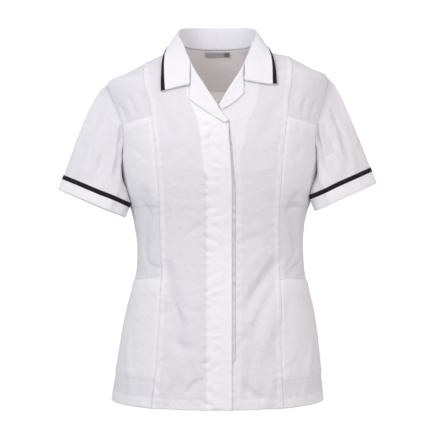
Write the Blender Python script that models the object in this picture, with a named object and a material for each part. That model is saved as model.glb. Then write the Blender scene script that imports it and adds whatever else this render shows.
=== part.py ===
"""Short-sleeved work tunic with a revere collar, a concealed front zip and four pockets.

The tunic hangs filled out and hollow, as it is worn. Metres, +Z up, the front faces -Y.
The origin is at the base of the neck, midway between the two points where the shoulder
seams meet the collar. Right and left are the wearer's: the right side is at -X.
"""

import math

import bpy
import numpy as np

# Cloth and seams
CLOTH = 0.0013
DOUBLE_CLOTH = 0.0018
TAPE = 0.0008
SEAM_GAP = 0.0003
LAYER_GAP = 0.0004

# Body of the tunic, level by level
SQUARENESS = 2.2
SIDE = math.pi / 2
BACK = math.pi
BODY_LEVELS = {
    #          neck   collar                        tip                          bust
    "height": (0.012, 0.000, -0.020, -0.040, -0.060, -0.073, -0.086, -0.112, -0.141, -0.168,
               -0.205, -0.243, -0.280, -0.315, -0.350, -0.400, -0.440, -0.480, -0.530, -0.600,
               -0.660, -0.702),
    "half_width": (0.051, 0.070, 0.107, 0.146, 0.185, 0.2135, 0.2190, 0.2145, 0.2085, 0.2040,
                   0.1990, 0.1945, 0.1870, 0.1775, 0.1685, 0.1635, 0.1650, 0.1730, 0.1855, 0.1965,
                   0.2040, 0.2095),
    "front": (0.054, 0.060, 0.072, 0.085, 0.096, 0.102, 0.107, 0.116, 0.124, 0.130,
              0.135, 0.134, 0.129, 0.122, 0.116, 0.111, 0.112, 0.116, 0.122, 0.127,
              0.130, 0.132),
    "back": (0.072, 0.0755, 0.083, 0.091, 0.099, 0.103, 0.107, 0.113, 0.118, 0.121,
             0.121, 0.117, 0.112, 0.106, 0.101, 0.098, 0.101, 0.108, 0.118, 0.127,
             0.131, 0.133),
}

# Levels of the cloth's rows from the hem up, at the front edge, the princess seam and the side
BODY_ROWS = {
    "front_edge": (-0.7010, -0.6810, -0.6500, -0.6180, -0.6050, -0.5600, -0.5200, -0.4890, -0.4560,
                   -0.4250, -0.3900, -0.3550, -0.3250, -0.2900, -0.2500, -0.2200, -0.1900, -0.1650,
                   -0.1370, -0.1120, -0.0860, -0.0600, -0.0330, 0.0000),
    "princess": (-0.7010, -0.6810, -0.6500, -0.6180, -0.6050, -0.5600, -0.5200, -0.4890, -0.4560,
                 -0.4250, -0.3900, -0.3550, -0.3250, -0.2900, -0.2500, -0.2200, -0.1850, -0.1510,
                 -0.1320, -0.1130, -0.0940, -0.0750, -0.0560, -0.0380),
    "side": (-0.6975, -0.6790, -0.6500, -0.6180, -0.6050, -0.5600, -0.5250, -0.5020, -0.4665,
             -0.4300, -0.3900, -0.3550, -0.3250, -0.2900, -0.2430, -0.2200, -0.1950, -0.1650,
             -0.1480, -0.1300, -0.1120, -0.0960, -0.0840, -0.0730),
    "back": (-0.7010, -0.6810, -0.6500, -0.6180, -0.6050, -0.5600, -0.5200, -0.4890, -0.4560,
             -0.4250, -0.3900, -0.3550, -0.3250, -0.2900, -0.2500, -0.2200, -0.1900, -0.1600,
             -0.1330, -0.1070, -0.0800, -0.0530, -0.0260, 0.0000),
}
POCKET_ROWS = {"upper": (12, 17), "lower": (2, 8)}
POCKET_INSET = 0.0027
FACING_ROWS = (20, 23)
PLACKET_TOP_ROW = 17
ZIP_ROWS = (4, 16)

# First of the rows at the front edge that follow the neckline and not the closing edge
NECKLINE_ROW = 18

# Lines across the cloth: distance from the middle at each height
PRINCESS_SEAM = {
    "height": (-0.038, -0.066, -0.095, -0.121, -0.150, -0.180, -0.215, -0.264, -0.333, -0.403,
               -0.460, -0.511, -0.575, -0.656, -0.701),
    "out": (0.1420, 0.1425, 0.1390, 0.1320, 0.1285, 0.1245, 0.1205, 0.1170, 0.1130, 0.1130,
            0.1135, 0.1145, 0.1160, 0.1205, 0.1245),
}
ARMHOLE = {
    "height": (-0.073, -0.088, -0.112, -0.141, -0.168, -0.195, -0.220, -0.243),
    "front_out": (0.2135, 0.2160, 0.2080, 0.1955, 0.1870, 0.1855, 0.1880, 0.1945),
    "back_out": (0.2135, 0.2170, 0.2110, 0.2010, 0.1940, 0.1915, 0.1915, 0.1945),
}
BACK_LINE = {
    "height": (0.000, -0.040, -0.100, -0.200, -0.300, -0.400, -0.500, -0.701),
    "out": (0.0700, 0.0880, 0.1000, 0.0980, 0.0900, 0.0850, 0.0930, 0.1150),
}
PLACKET_EDGE = {
    "height": (-0.1645, -0.1900, -0.2150, -0.2500, -0.3000, -0.7010),
    "out": (0.0205, 0.0215, 0.0235, 0.0258, 0.0275, 0.0275),
}
UNDER_EDGE = {
    "height": (-0.1650, -0.1900, -0.2150, -0.2500, -0.3000, -0.6050, -0.6180, -0.7010),
    "out": (0.0222, 0.0250, 0.0278, 0.0306, 0.0344, 0.0344, 0.0207, 0.0207),
}
OVER_EDGE_OUT = 0.0200
OVER_EDGE_EASE = 0.0004
PLACKET_SEAM_OUT = -0.0205
# Slanted top end of the placket, from its free edge to its seam
PLACKET_TOP = {
    "out": (0.0205, 0.0196, 0.0065, -0.0070, PLACKET_SEAM_OUT),
    "drop": (0.0030, 0.0035, -0.0020, -0.0080, -0.0130),
}
PLACKET_LINE = {
    "height": (0.000, -0.033, -0.060, -0.086, -0.112, -0.137, -0.165, -0.190, -0.220, -0.250,
               -0.290, -0.701),
    "out": (-0.0900, -0.0860, -0.0800, -0.0720, -0.0600, -0.0420, -0.0205, -0.0205, -0.0205,
            -0.0205, -0.0205, -0.0205),
}
# Fold of each lapel and the neckline above it, from the bottom of the V to the neck point
NECKLINE = {
    "height": (-0.1370, -0.1120, -0.0860, -0.0600, -0.0521, -0.0330, -0.0170, 0.0000),
    "out": (0.0012, 0.0150, 0.0312, 0.0462, 0.0500, 0.0600, 0.0660, 0.0700),
}
LAP_HEIGHT = -0.1645

# Lapels: the fold and the outer edge, from the gorge down
RIGHT_LAPEL = {
    "fold_out": (-0.0500, -0.0425, -0.0312, -0.0165, -0.0040, 0.0075, 0.0190),
    "fold_height": (-0.0521, -0.0680, -0.0860, -0.1095, -0.1285, -0.1480, -0.1625),
    "edge_out": (-0.0518, -0.0533, -0.0420, -0.0260, -0.0100, 0.0030, 0.0141),
    "edge_height": (-0.0945, -0.1205, -0.1295, -0.1405, -0.1512, -0.1592, -0.1660),
}
LEFT_LAPEL = {
    "fold_out": (0.0490, 0.0420, 0.0340, 0.0250, 0.0160, 0.0036),
    "fold_height": (-0.0550, -0.0690, -0.0820, -0.0965, -0.1110, -0.1340),
    "edge_out": (0.0487, 0.0487, 0.0400, 0.0310, 0.0195, 0.0072),
    "edge_height": (-0.0860, -0.1100, -0.1185, -0.1265, -0.1340, -0.1412),
}
LAPEL_COLUMNS = 4
LAPEL_LIFT = {"fold": 0.0007, "edge": 0.0028}

# Collar from the centre back to the gorge: seam, roll and outer edge of each section
COLLAR_BACK = {
    "seam_turn": (180, 155, 132, 108, 92),
    "roll": ((0.000, 0.0860, 0.0400), (0.0340, 0.0790, 0.0412), (0.0600, 0.0590, 0.0415),
             (0.0752, 0.0270, 0.0345), (0.0765, -0.0060, 0.0195)),
    "edge": ((0.000, 0.0960, -0.0125), (0.0440, 0.0880, -0.0125), (0.0800, 0.0600, -0.0120),
             (0.0965, 0.0240, -0.0085), (0.1010, -0.0180, -0.0130)),
}
COLLAR_FRONT = {
    "seam_out": (0.0648, 0.0586, 0.0492),
    "seam_height": (-0.0160, -0.0322, -0.0505),
    "roll_out": (0.0690, 0.0610, 0.0512),
    "roll_height": (0.0010, -0.0210, -0.0480),
    "roll_lean": (0.0150, 0.0070, -0.0015),
}
COLLAR_EDGE = {
    "right": {"out": (0.1048, 0.1064, 0.1070), "height": (-0.0420, -0.0740, -0.1040)},
    "left": {"out": (0.1052, 0.1086, 0.1092), "height": (-0.0390, -0.0660, -0.0945)},
}
COLLAR_NOTCH = {"right": (0.0522, -0.0935), "left": (0.0500, -0.0850)}
COLLAR_LIFT = {"notch": 0.0032, "edge": 0.0042}
COLLAR_CLEARANCE = 0.0022
COLLAR_TURNS = 4
# How far along the gorge seam and then the lower edge the columns of the collar's end lie
GORGE_MIDDLE = 0.5
LOWER_EDGE_MIDDLE = 0.45
COLLAR_TAPE_WIDTH = 0.0075
STAND_STEPS = (0.0, 0.5, 1.0)
STAND_TOP_GAP = 0.0034
STAND_SEAT = 0.0012
STAND_INSET = 0.0010
STAND_END = 3
FALL_STEPS = (0.0, 0.16, 0.42, 0.70)

# Sleeves
UNDERARM_ROW = 14
SLEEVE_STEPS = (0.0, 0.03, 0.14, 0.28, 0.42, 0.57, 0.72, 0.86, 1.0)
SLEEVES = {
    "right": {"outer": (-0.3126, -0.004, -0.2870), "inner": (-0.1840, -0.046, -0.3410),
              "half_depth": 0.041, "axis": (-0.36, -0.06, -0.93), "cuff_depth": 0.0212},
    "left": {"outer": (0.3120, -0.004, -0.2765), "inner": (0.1870, -0.046, -0.3305),
             "half_depth": 0.041, "axis": (0.38, 0.0, -0.925), "cuff_depth": 0.0244},
}
SLEEVE_START = {"top": (0.80, 0.0, -0.60), "under": (0.22, -0.20, -0.95)}
SLEEVE_BELLY = 0.42
SLEEVE_START_PULL = 0.75
SLEEVE_END_PULL = 0.85
SLEEVE_CLEARANCE = 0.0045
SLEEVE_LIFT_OFF = {"share": 0.6, "full_at": 0.3}
SLEEVE_FOLD_SPAN = 90
CUFF_TAPE_WIDTH = 0.0095

# How the whole tunic hangs off true: its sides lie a little to the left, and the left shoulder
# sits higher. Each shift fades to nothing at the ends of its table.
HANG_ASIDE = {
    "height": (-0.702, -0.660, -0.610, -0.560, -0.500, -0.440, -0.400, -0.350, -0.300, -0.140,
               -0.080, 0.000),
    "shift": (0.0000, 0.0015, 0.0030, 0.0042, 0.0055, 0.0058, 0.0052, 0.0036, 0.0036, 0.0036,
              0.0010, 0.0000),
}
ASIDE_FROM = (0.035, 0.095)
ASIDE_TO = (0.195, 0.235)
SHOULDER_RISE = {
    "height": (0.094, 0.120, 0.142, 0.165, 0.190, 0.220, 0.250, 0.320),
    "rise": (0.0000, 0.0070, 0.0120, 0.0120, 0.0110, 0.0115, 0.0090, 0.0000),
}
RISE_FADE = (-0.155, -0.075)

# Label inside the back of the neck
LABEL_SIZE = (0.052, 0.010)
LABEL_HEIGHT = -0.0040
TAB_WIDTH = 0.012
LABEL_GAP = 0.0012

# Largest folds. A fold runs between two places on the body, given by the turn from the centre
# front in degrees (right side negative) and the height. Rise is outwards, and a trough is less
# than nothing.
FOLDS = {
    "name": ("right waist drag", "right hem drag", "left waist drag", "left hip drag",
             "left hem roll", "right hem roll", "right side hollow", "left side hollow",
             "back waist left", "back waist right", "back hem left", "back hem right",
             "back shoulder left", "back shoulder right"),
    "from_turn": (-38, -30, 40, 36, 8, -8, -62, 62, 150, -150, 160, -158, 138, -140),
    "from_height": (-0.44, -0.52, -0.43, -0.50, -0.62, -0.60, -0.40, -0.40, -0.38, -0.39,
                    -0.50, -0.49, -0.17, -0.18),
    "to_turn": (-16, -10, 12, 14, 24, -26, -50, 52, 164, -166, 152, -150, 160, -160),
    "to_height": (-0.56, -0.63, -0.56, -0.62, -0.70, -0.70, -0.30, -0.31, -0.47, -0.46,
                  -0.70, -0.70, -0.27, -0.26),
    "width": (0.026, 0.022, 0.026, 0.024, 0.022, 0.022, 0.024, 0.024, 0.026, 0.026,
              0.034, 0.036, 0.036, 0.036),
    "rise": (-0.0040, -0.0035, -0.0045, 0.0035, -0.0045, -0.0035, -0.0045, -0.0045, -0.0045,
             -0.0040, 0.0050, 0.0045, -0.0035, -0.0032),
}
FOLD_RADIUS = 0.165
PLACKET_FLAT = (0.046, 0.066)
SLEEVE_FOLDS = {
    "name": ("front drape", "inner drape", "outer ripple", "back drape", "under drape"),
    "from_turn": (105, 140, 40, 250, 205),
    "from_step": (0.10, 0.15, 0.30, 0.12, 0.10),
    "to_turn": (88, 128, 52, 265, 215),
    "to_step": (0.92, 1.00, 1.00, 0.95, 0.95),
    "width": (18, 16, 22, 20, 18),
    "rise": (-0.0045, 0.0050, -0.0030, -0.0045, 0.0040),
}

COLOURS = {
    "white cloth": (0.78, 0.76, 0.80),
    "navy tape": (0.012, 0.012, 0.022),
    "zip tape": (0.52, 0.51, 0.54),
    "grey label": (0.26, 0.26, 0.27),
    "dark label": (0.10, 0.10, 0.11),
}


def curve(table, column, at):
    """Smooth reading of a column of a table against its places, with no overshoot."""
    heights = np.array(table["height"], float)
    values = np.array(table[column], float)
    order = np.argsort(heights)
    heights, values = heights[order], values[order]
    slopes = np.diff(values) / np.diff(heights)
    joint = np.zeros(len(values))
    same = slopes[:-1] * slopes[1:] > 0
    joint[1:-1][same] = 2 * slopes[:-1][same] * slopes[1:][same] / (slopes[:-1] + slopes[1:])[same]
    joint[0], joint[-1] = slopes[0], slopes[-1]
    at = np.clip(np.asarray(at, float), heights[0], heights[-1])
    cell = np.clip(np.searchsorted(heights, at) - 1, 0, len(slopes) - 1)
    span = heights[cell + 1] - heights[cell]
    t = (at - heights[cell]) / span
    return ((1 + 2 * t) * (1 - t) ** 2 * values[cell] + t * (1 - t) ** 2 * span * joint[cell]
            + t * t * (3 - 2 * t) * values[cell + 1] + t * t * (t - 1) * span * joint[cell + 1])


def unit(vectors):
    return vectors / np.linalg.norm(vectors, axis=-1, keepdims=True)


def bare_body(turn, height):
    """Point of the body's outer face before folds: turn 0 is the centre front, + to the left."""
    width = curve(BODY_LEVELS, "half_width", height)
    sine, cosine = np.sin(turn), np.cos(turn)
    depth = np.where(cosine > 0, curve(BODY_LEVELS, "front", height),
                     curve(BODY_LEVELS, "back", height))
    power = 2 / SQUARENESS
    x = width * np.sign(sine) * np.abs(sine) ** power
    y = -depth * np.sign(cosine) * np.abs(cosine) ** power
    return np.stack([x, y, height + 0 * turn], axis=-1)


def turn_at(out, height, back=False):
    """Turn of the point of the body that lies this far from the middle plane."""
    width = curve(BODY_LEVELS, "half_width", height)
    ratio = np.clip(np.abs(out) / width, 0, 1)
    turn = np.sign(out) * np.arcsin(ratio ** (SQUARENESS / 2))
    return np.where(back, np.sign(out) * BACK - turn, turn)


def body_ratio(points):
    """1 on the body's form, less inside it and more outside."""
    height = points[..., 2]
    depth = np.where(points[..., 1] < 0, curve(BODY_LEVELS, "front", height),
                     curve(BODY_LEVELS, "back", height))
    across = np.abs(points[..., 0]) / curve(BODY_LEVELS, "half_width", height)
    return (across ** SQUARENESS + (np.abs(points[..., 1]) / depth) ** SQUARENESS) ** (1 / SQUARENESS)


def clear_of_body(points, clearance):
    """Push points straight out of the body's form until they are clear of it."""
    step = 1e-4
    for _ in range(3):
        slope = np.stack([(body_ratio(points + step * way) - body_ratio(points - step * way))
                          / (2 * step) for way in np.eye(3)], axis=-1)
        steepness = np.linalg.norm(slope, axis=-1)
        distance = (body_ratio(points) - 1) / steepness
        short = np.maximum(0, clearance - distance)
        points = points + slope / steepness[..., None] * short[..., None]
    return points


def ridge(distance):
    """Soft cross section of a fold, 1 on its line and 0 from its width outwards."""
    return np.where(distance < 1, (1 - np.minimum(distance, 1) ** 2) ** 2, 0)


def segment_distance(across, along, start, end):
    """Distance to a line between two places, and how far along it the nearest place lies."""
    line = np.array(end, float) - np.array(start, float)
    t = ((across - start[0]) * line[0] + (along - start[1]) * line[1]) / (line @ line)
    held = np.clip(t, 0, 1)
    return np.hypot(across - start[0] - held * line[0], along - start[1] - held * line[1]), held


def body_rise(turn, height):
    """How far the folds lift the body's cloth."""
    rise = 0 * turn
    for row in range(len(FOLDS["name"])):
        start = (math.radians(FOLDS["from_turn"][row]) * FOLD_RADIUS, FOLDS["from_height"][row])
        end = (math.radians(FOLDS["to_turn"][row]) * FOLD_RADIUS, FOLDS["to_height"][row])
        distance, _ = segment_distance(turn * FOLD_RADIUS, height, start, end)
        rise = rise + FOLDS["rise"][row] * ridge(distance / FOLDS["width"][row])
    front = np.cos(turn) > 0
    beside = np.abs(turn) * FOLD_RADIUS
    flat = np.clip((beside - PLACKET_FLAT[0]) / (PLACKET_FLAT[1] - PLACKET_FLAT[0]), 0, 1)
    return np.where(front, rise * flat * flat * (3 - 2 * flat), rise)


def bare_normal(turn, height, surface):
    """Outward direction of a surface given by turn and height."""
    step = 1e-4
    across = surface(turn + step, height) - surface(turn - step, height)
    up = surface(turn, height + step) - surface(turn, height - step)
    return unit(np.cross(across, up))


def body(turn, height):
    """Point of the body's outer face with its folds."""
    rise = body_rise(turn, height)
    return bare_body(turn, height) + bare_normal(turn, height, bare_body) * rise[..., None]


def body_face(turn, height, out=0.0):
    """Points of the body's outer face, moved out along the cloth's own direction."""
    out = np.broadcast_to(np.asarray(out, float), np.shape(turn))
    return body(turn, height) + bare_normal(turn, height, body) * out[..., None]


def front_point(out, height, lift=0.0):
    """Point in front of the chest at this distance from the middle plane."""
    out = np.asarray(out, float)
    height = np.asarray(height, float) + 0 * out
    return body_face(turn_at(out, height), height, lift)


def line_on_body(table, column, heights, side, back=False):
    """Turns and heights of a line that a table gives by its distance from the middle."""
    heights = np.array(heights, float)
    out = side * curve(table, column, heights)
    return turn_at(out, heights, back), heights


def spread(lines, columns):
    """Rows and columns between lines on the body, with this many columns in each stretch."""
    turns, heights = [], []
    for (left_turn, left_height), (right_turn, right_height), count in zip(
            lines[:-1], lines[1:], columns):
        for column in range(count):
            t = column / count
            turns.append(left_turn + t * (right_turn - left_turn))
            heights.append(left_height + t * (right_height - left_height))
    turns.append(lines[-1][0])
    heights.append(lines[-1][1])
    return np.stack(turns, axis=1), np.stack(heights, axis=1)


def trim(grid, point, gap=SEAM_GAP / 2, sides=(True, True, True, True)):
    """Draw a grid of turns and heights in by half a seam gap at its first and last lines."""
    turn, height = (g.copy() for g in grid)
    for axis in (0, 1):
        for end, inner, wanted in ((0, 1, sides[2 * axis]), (-1, -2, sides[2 * axis + 1])):
            if not wanted:
                continue
            edge = [np.take(g, end, axis) for g in (turn, height)]
            near = [np.take(g, inner, axis) for g in (turn, height)]
            length = np.linalg.norm(point(*edge) - point(*near), axis=-1)
            share = gap / length
            for g, e, n in zip((turn, height), edge, near):
                index = [slice(None), slice(None)]
                index[axis] = end
                g[tuple(index)] = e + share * (n - e)
    return turn, height


def soft_step(value, start, end):
    """0 up to start, 1 from end on, and an even passage between them."""
    t = np.clip((value - start) / (end - start), 0, 1)
    return t * t * (3 - 2 * t)


def hang(points):
    """Lean of the whole tunic, as it hangs a little off true."""
    out, height = points[:, 0], points[:, 2]
    weight = soft_step(np.abs(out), *ASIDE_FROM) * (1 - soft_step(np.abs(out), *ASIDE_TO))
    moved = points.copy()
    moved[:, 0] += curve(HANG_ASIDE, "shift", height) * weight
    moved[:, 2] += curve(SHOULDER_RISE, "rise", out) * soft_step(height, *RISE_FADE)
    return moved


def wall_mesh(name, outer, inner, ring=False, mirrored=False):
    """Closed wall between two grids of points, round like a tube where ring is set.

    Both faces of a wall, and of what lies on it, are cut along the same diagonals. Mirrored
    turns them the other way, so that the left of the tunic mirrors the right.
    """
    rows, columns = outer.shape[:2]
    count = rows * columns
    points = hang(np.concatenate([outer.reshape(-1, 3), inner.reshape(-1, 3)]))
    faces = []
    spans = columns if ring else columns - 1
    for row in range(rows - 1):
        for column in range(spans):
            a = row * columns + column
            b = row * columns + (column + 1) % columns
            c, d = b + columns, a + columns
            halves = [(a, b, d), (b, c, d)] if mirrored else [(a, b, c), (a, c, d)]
            faces += halves
            faces += [tuple(corner + count for corner in reversed(half)) for half in halves]
    for column in range(spans):
        a, b = column, (column + 1) % columns
        faces.append((b, a, a + count, b + count))
        top = (rows - 1) * columns
        faces.append((top + a, top + b, top + b + count, top + a + count))
    if not ring:
        for row in range(rows - 1):
            a, b = row * columns, (row + 1) * columns
            faces.append((a, b, b + count, a + count))
            a, b = a + columns - 1, b + columns - 1
            faces.append((b, a, a + count, b + count))
    mesh = bpy.data.meshes.new(name)
    mesh.from_pydata([tuple(map(float, p)) for p in points], [], faces)
    mesh.update()
    return mesh


def make_material(name):
    material = bpy.data.materials.new(name)
    material.use_nodes = True
    shader = material.node_tree.nodes["Principled BSDF"]
    shader.inputs["Base Color"].default_value = (*COLOURS[name], 1)
    shader.inputs["Roughness"].default_value = 0.85
    return material


def add_piece(collection, name, mesh, colour):
    piece = bpy.data.objects.new(name, mesh)
    mesh.materials.append(bpy.data.materials.get(colour) or make_material(colour))
    mesh.shade_smooth()
    collection.objects.link(piece)
    return piece


def body_piece(collection, name, grid, thickness=CLOTH, lift=0.0, colour="white cloth",
               faces_right=True, inset=0.0):
    """A wall on the body's form; lift raises its inner face above the body's outer face.

    Inset draws the wall's last column in, along the flat faces of the panel below.
    """
    turn, height = grid
    top = lift + thickness if lift > 0 else lift
    outer, inner = body_face(turn, height, top), body_face(turn, height, top - thickness)
    for face in (outer, inner):
        face[:, -1] += unit(face[:, -2] - face[:, -1]) * inset
    if not faces_right:
        outer, inner = outer[:, ::-1], inner[:, ::-1]
    mesh = wall_mesh(name, outer, inner, mirrored=faces_right)
    return add_piece(collection, name, mesh, colour)


def edge_line(heights, side):
    """Front edge of one front: its closing edge, then the fold of the lapel and the neckline."""
    low, high = heights[:NECKLINE_ROW], heights[NECKLINE_ROW:]
    if side < 0:
        low_out = np.full(len(low), OVER_EDGE_OUT)
        low_out[-1] -= OVER_EDGE_EASE
    else:
        low_out = curve(UNDER_EDGE, "out", low)
    high_out = side * curve(NECKLINE, "out", high)
    out = np.concatenate([low_out, high_out])
    return turn_at(out, heights), heights


def shoulder_turn(line, side):
    """Bring the last place of a line exactly onto the shoulder seam."""
    turn, height = line
    turn = turn.copy()
    turn[-1] = side * SIDE
    return turn, height


def side_line(side, back):
    """Side seam, then the front or back of the armhole up to the shoulder."""
    heights = np.array(BODY_ROWS["side"])
    column = "back_out" if back else "front_out"
    out = side * curve(ARMHOLE, column, heights)
    turn = turn_at(out, heights, back)
    turn[heights <= ARMHOLE["height"][-1]] = side * SIDE
    turn[-1] = side * SIDE
    return turn, heights


def front_lines(side):
    heights = np.array(BODY_ROWS["front_edge"])
    edge = shoulder_turn(edge_line(heights, side), side)
    seam = shoulder_turn(line_on_body(PRINCESS_SEAM, "out", BODY_ROWS["princess"], side), side)
    return edge, seam, side_line(side, False)


def make_fronts(collection):
    """Centre and side panels of both fronts, and the grids that pockets are made from."""
    grids = {}
    for word, side in (("right", -1), ("left", 1)):
        edge, seam, outer = front_lines(side)
        if side < 0:
            placket = line_on_body(PLACKET_LINE, "out", BODY_ROWS["front_edge"], 1)
            centre = spread((edge, placket, seam), (3, 5))
            grids["placket"] = centre
        else:
            centre = spread((edge, seam), (7,))
        body_piece(collection, f"front_{word}_centre", trim(centre, bare_body),
                   faces_right=side > 0)
        panel = spread((seam, outer), (6,))
        grids[word] = panel
        body_piece(collection, f"front_{word}_side", trim(panel, bare_body),
                   faces_right=side > 0)
    return grids


def part_of(grid, rows, columns=slice(None)):
    """Rows first to last of a grid."""
    first, last = rows
    return tuple(g[first:last + 1, columns] for g in grid)


def make_pockets(collection, grids):
    for word, side in (("right", -1), ("left", 1)):
        for place, rows in POCKET_ROWS.items():
            grid = part_of(trim(grids[word], bare_body, sides=(False, False, True, True)), rows)
            body_piece(collection, f"{place}_pocket_{word}", grid, lift=LAYER_GAP,
                       faces_right=side > 0, inset=POCKET_INSET if place == "upper" else 0)


def make_placket(collection, grids):
    """Fly placket over the zip, from the lapel to the hem."""
    turn, height = part_of(trim(grids["placket"], bare_body), (0, PLACKET_TOP_ROW), slice(0, 4))
    edge_height = height[:, 0]
    edge_turn = turn_at(curve(PLACKET_EDGE, "out", edge_height), edge_height)
    turn = np.column_stack([edge_turn, turn])
    height = np.column_stack([edge_height, height])
    height[-1] = LAP_HEIGHT - np.array(PLACKET_TOP["drop"])
    turn[-1] = turn_at(np.array(PLACKET_TOP["out"]), height[-1])
    body_piece(collection, "fly_placket", (turn, height), lift=LAYER_GAP, faces_right=False)


def make_zip(collection):
    """Zip tape in the gap between the two fronts, seen beside the placket."""
    first, last = ZIP_ROWS
    height = np.array(BODY_ROWS["front_edge"][first:last + 1])
    inner_out = np.full(len(height), OVER_EDGE_OUT + 2 * SEAM_GAP)
    outer_out = curve(UNDER_EDGE, "out", height) - 2 * SEAM_GAP
    line = [(turn_at(out, height), height) for out in (inner_out, outer_out)]
    body_piece(collection, "zip_tape", spread(line, (1,)), thickness=TAPE, lift=-SEAM_GAP,
               colour="zip tape")


def back_lines():
    """Lines of the back from the left side seam round to the right one."""
    lines = []
    for side in (1, -1):
        seam = side_line(side, True)
        turn, height = line_on_body(BACK_LINE, "out", BODY_ROWS["back"], side, back=True)
        turn[-1] = side * SIDE
        lines.append((seam, (turn, height)))
    middle_height = np.array(BODY_ROWS["back"])
    middle = (np.full(len(middle_height), BACK), middle_height)
    (left_seam, left_line), (right_seam, right_line) = lines
    right_line, right_seam = ((turn + 2 * BACK, height) for turn, height in
                              (right_line, right_seam))
    return left_seam, left_line, middle, right_line, right_seam


def make_back(collection):
    """One back panel, and the facing whose lower edge shows inside the neck."""
    grid = trim(spread(back_lines(), (5, 5, 5, 5)), bare_body)
    body_piece(collection, "back", grid)
    facing = part_of(grid, FACING_ROWS, slice(5, 16))
    body_piece(collection, "back_neck_facing", facing, thickness=TAPE,
               lift=-CLOTH - LAYER_GAP)


def make_lapel(collection, word, table, side):
    """Lapel turned back on the chest, from its fold to its outer edge."""
    lines = [[np.array(table[f"{line}_{column}"]) for column in ("out", "height")]
             for line in ("fold", "edge")]
    out, height = spread(lines, (LAPEL_COLUMNS,))
    turn = turn_at(out, height)
    share = np.linspace(0, 1, LAPEL_COLUMNS + 1)
    lift = LAPEL_LIFT["fold"] + (LAPEL_LIFT["edge"] - LAPEL_LIFT["fold"]) * np.sqrt(share)
    if side > 0:
        turn, height = turn[::-1], height[::-1]
    else:
        turn, height, lift = turn[::-1, ::-1], height[::-1, ::-1], lift[::-1]
    bottom = np.broadcast_to(lift, turn.shape)
    mesh = wall_mesh(f"lapel_{word}", body_face(turn, height, bottom + CLOTH),
                     body_face(turn, height, bottom))
    add_piece(collection, f"lapel_{word}", mesh, "white cloth")


def collar_lines(word):
    """Seam, roll and edge of the collar on one side, from the centre back to the gorge."""
    side = -1 if word == "right" else 1
    lines = {key: [np.array(p) * (side, 1, 1) for p in COLLAR_BACK[key]]
             for key in ("roll", "edge")}
    turn = side * np.radians(COLLAR_BACK["seam_turn"])
    inset = 1 - CLOTH / COLLAR_BACK["roll"][-1][0]
    lines["seam"] = list(body(turn, 0 * turn) * (inset, inset, 1) + (0, 0, STAND_SEAT))
    front = {key: np.array(values) for key, values in COLLAR_FRONT.items()}
    edge = {key: np.array(values) for key, values in COLLAR_EDGE[word].items()}
    seam = front_point(side * front["seam_out"], front["seam_height"], -CLOTH)
    roll = np.stack([side * front["roll_out"], seam[:, 1] + front["roll_lean"],
                     front["roll_height"]], axis=1)
    outer = front_point(side * edge["out"], edge["height"], COLLAR_LIFT["edge"])
    lines["seam"] += list(seam)
    lines["roll"] += list(roll)
    lines["edge"] += list(outer)
    notch_out, notch_height = COLLAR_NOTCH[word]
    notch = front_point(side * np.array([notch_out]), notch_height, COLLAR_LIFT["notch"])[0]
    return {key: np.array(points) for key, points in lines.items()}, notch


def smooth_rows(points, turns=COLLAR_TURNS):
    """Even curve through points, with this many steps between each two."""
    points = np.array(points, float)
    padded = np.concatenate([2 * points[:1] - points[1:2], points, 2 * points[-1:] - points[-2:-1]])
    result = []
    for cell in range(len(points) - 1):
        a, b, c, d = padded[cell:cell + 4]
        for step in range(turns):
            t = step / turns
            result.append(0.5 * (2 * b + (c - a) * t + (2 * a - 5 * b + 4 * c - d) * t ** 2
                                 + (3 * b - a - 3 * c + d) * t ** 3))
    result.append(points[-1])
    return np.array(result)


def grid_normals(points):
    """Outward directions of a grid of points from its own rows and columns."""
    across = np.gradient(points, axis=1)
    along = np.gradient(points, axis=0)
    return unit(np.cross(across, along))


def collar_grids():
    """Grids of the collar's stand and fall, from the right gorge round to the left one."""
    halves = {}
    for word in ("right", "left"):
        lines, notch = collar_lines(word)
        seam, roll, edge = (smooth_rows(lines[key]) for key in ("seam", "roll", "edge"))
        count = len(seam)
        stand_top = roll + unit(seam - roll) * STAND_TOP_GAP + unit(seam - edge) * STAND_INSET
        stand = np.stack([seam + t * (stand_top - seam) for t in STAND_STEPS], axis=1)
        edge_run = unit(np.gradient(edge, axis=0))
        fall_length = np.linalg.norm(np.cross(edge_run, edge - roll), axis=1)
        steps = list(FALL_STEPS) + [0, 1]
        fall = []
        for row in range(count):
            tape_start = 1 - COLLAR_TAPE_WIDTH / fall_length[row]
            steps[-2] = tape_start
            fall.append([roll[row] + t * (edge[row] - roll[row]) for t in steps])
        fall = np.array(fall)
        shape_front_end(fall, row_through_notch(fall[-1], notch))
        fall = clear_of_body(fall, COLLAR_CLEARANCE)
        halves[word] = (stand[:count - STAND_END], fall)
    joined = []
    for right, left in zip(halves["right"], halves["left"]):
        joined.append(np.concatenate([right[::-1], left[1:]]))
    return joined


def row_through_notch(row, notch):
    """Last row of the collar: down the gorge seam to the notch, then along the lower edge."""
    roll, tip = row[0], row[-1]
    tape_inner = tip + unit(notch - tip) * COLLAR_TAPE_WIDTH
    return np.array([roll, roll + GORGE_MIDDLE * (notch - roll), notch,
                     notch + LOWER_EDGE_MIDDLE * (tape_inner - notch), tape_inner, tip])


def shape_front_end(fall, gorge, reach=COLLAR_TURNS * 2):
    """Ease the rows near the front end of the fall towards the row through the notch."""
    shift = gorge - fall[-1]
    for back in range(reach):
        ease = (1 - back / reach) ** 2
        fall[-1 - back] += ease * shift


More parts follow.
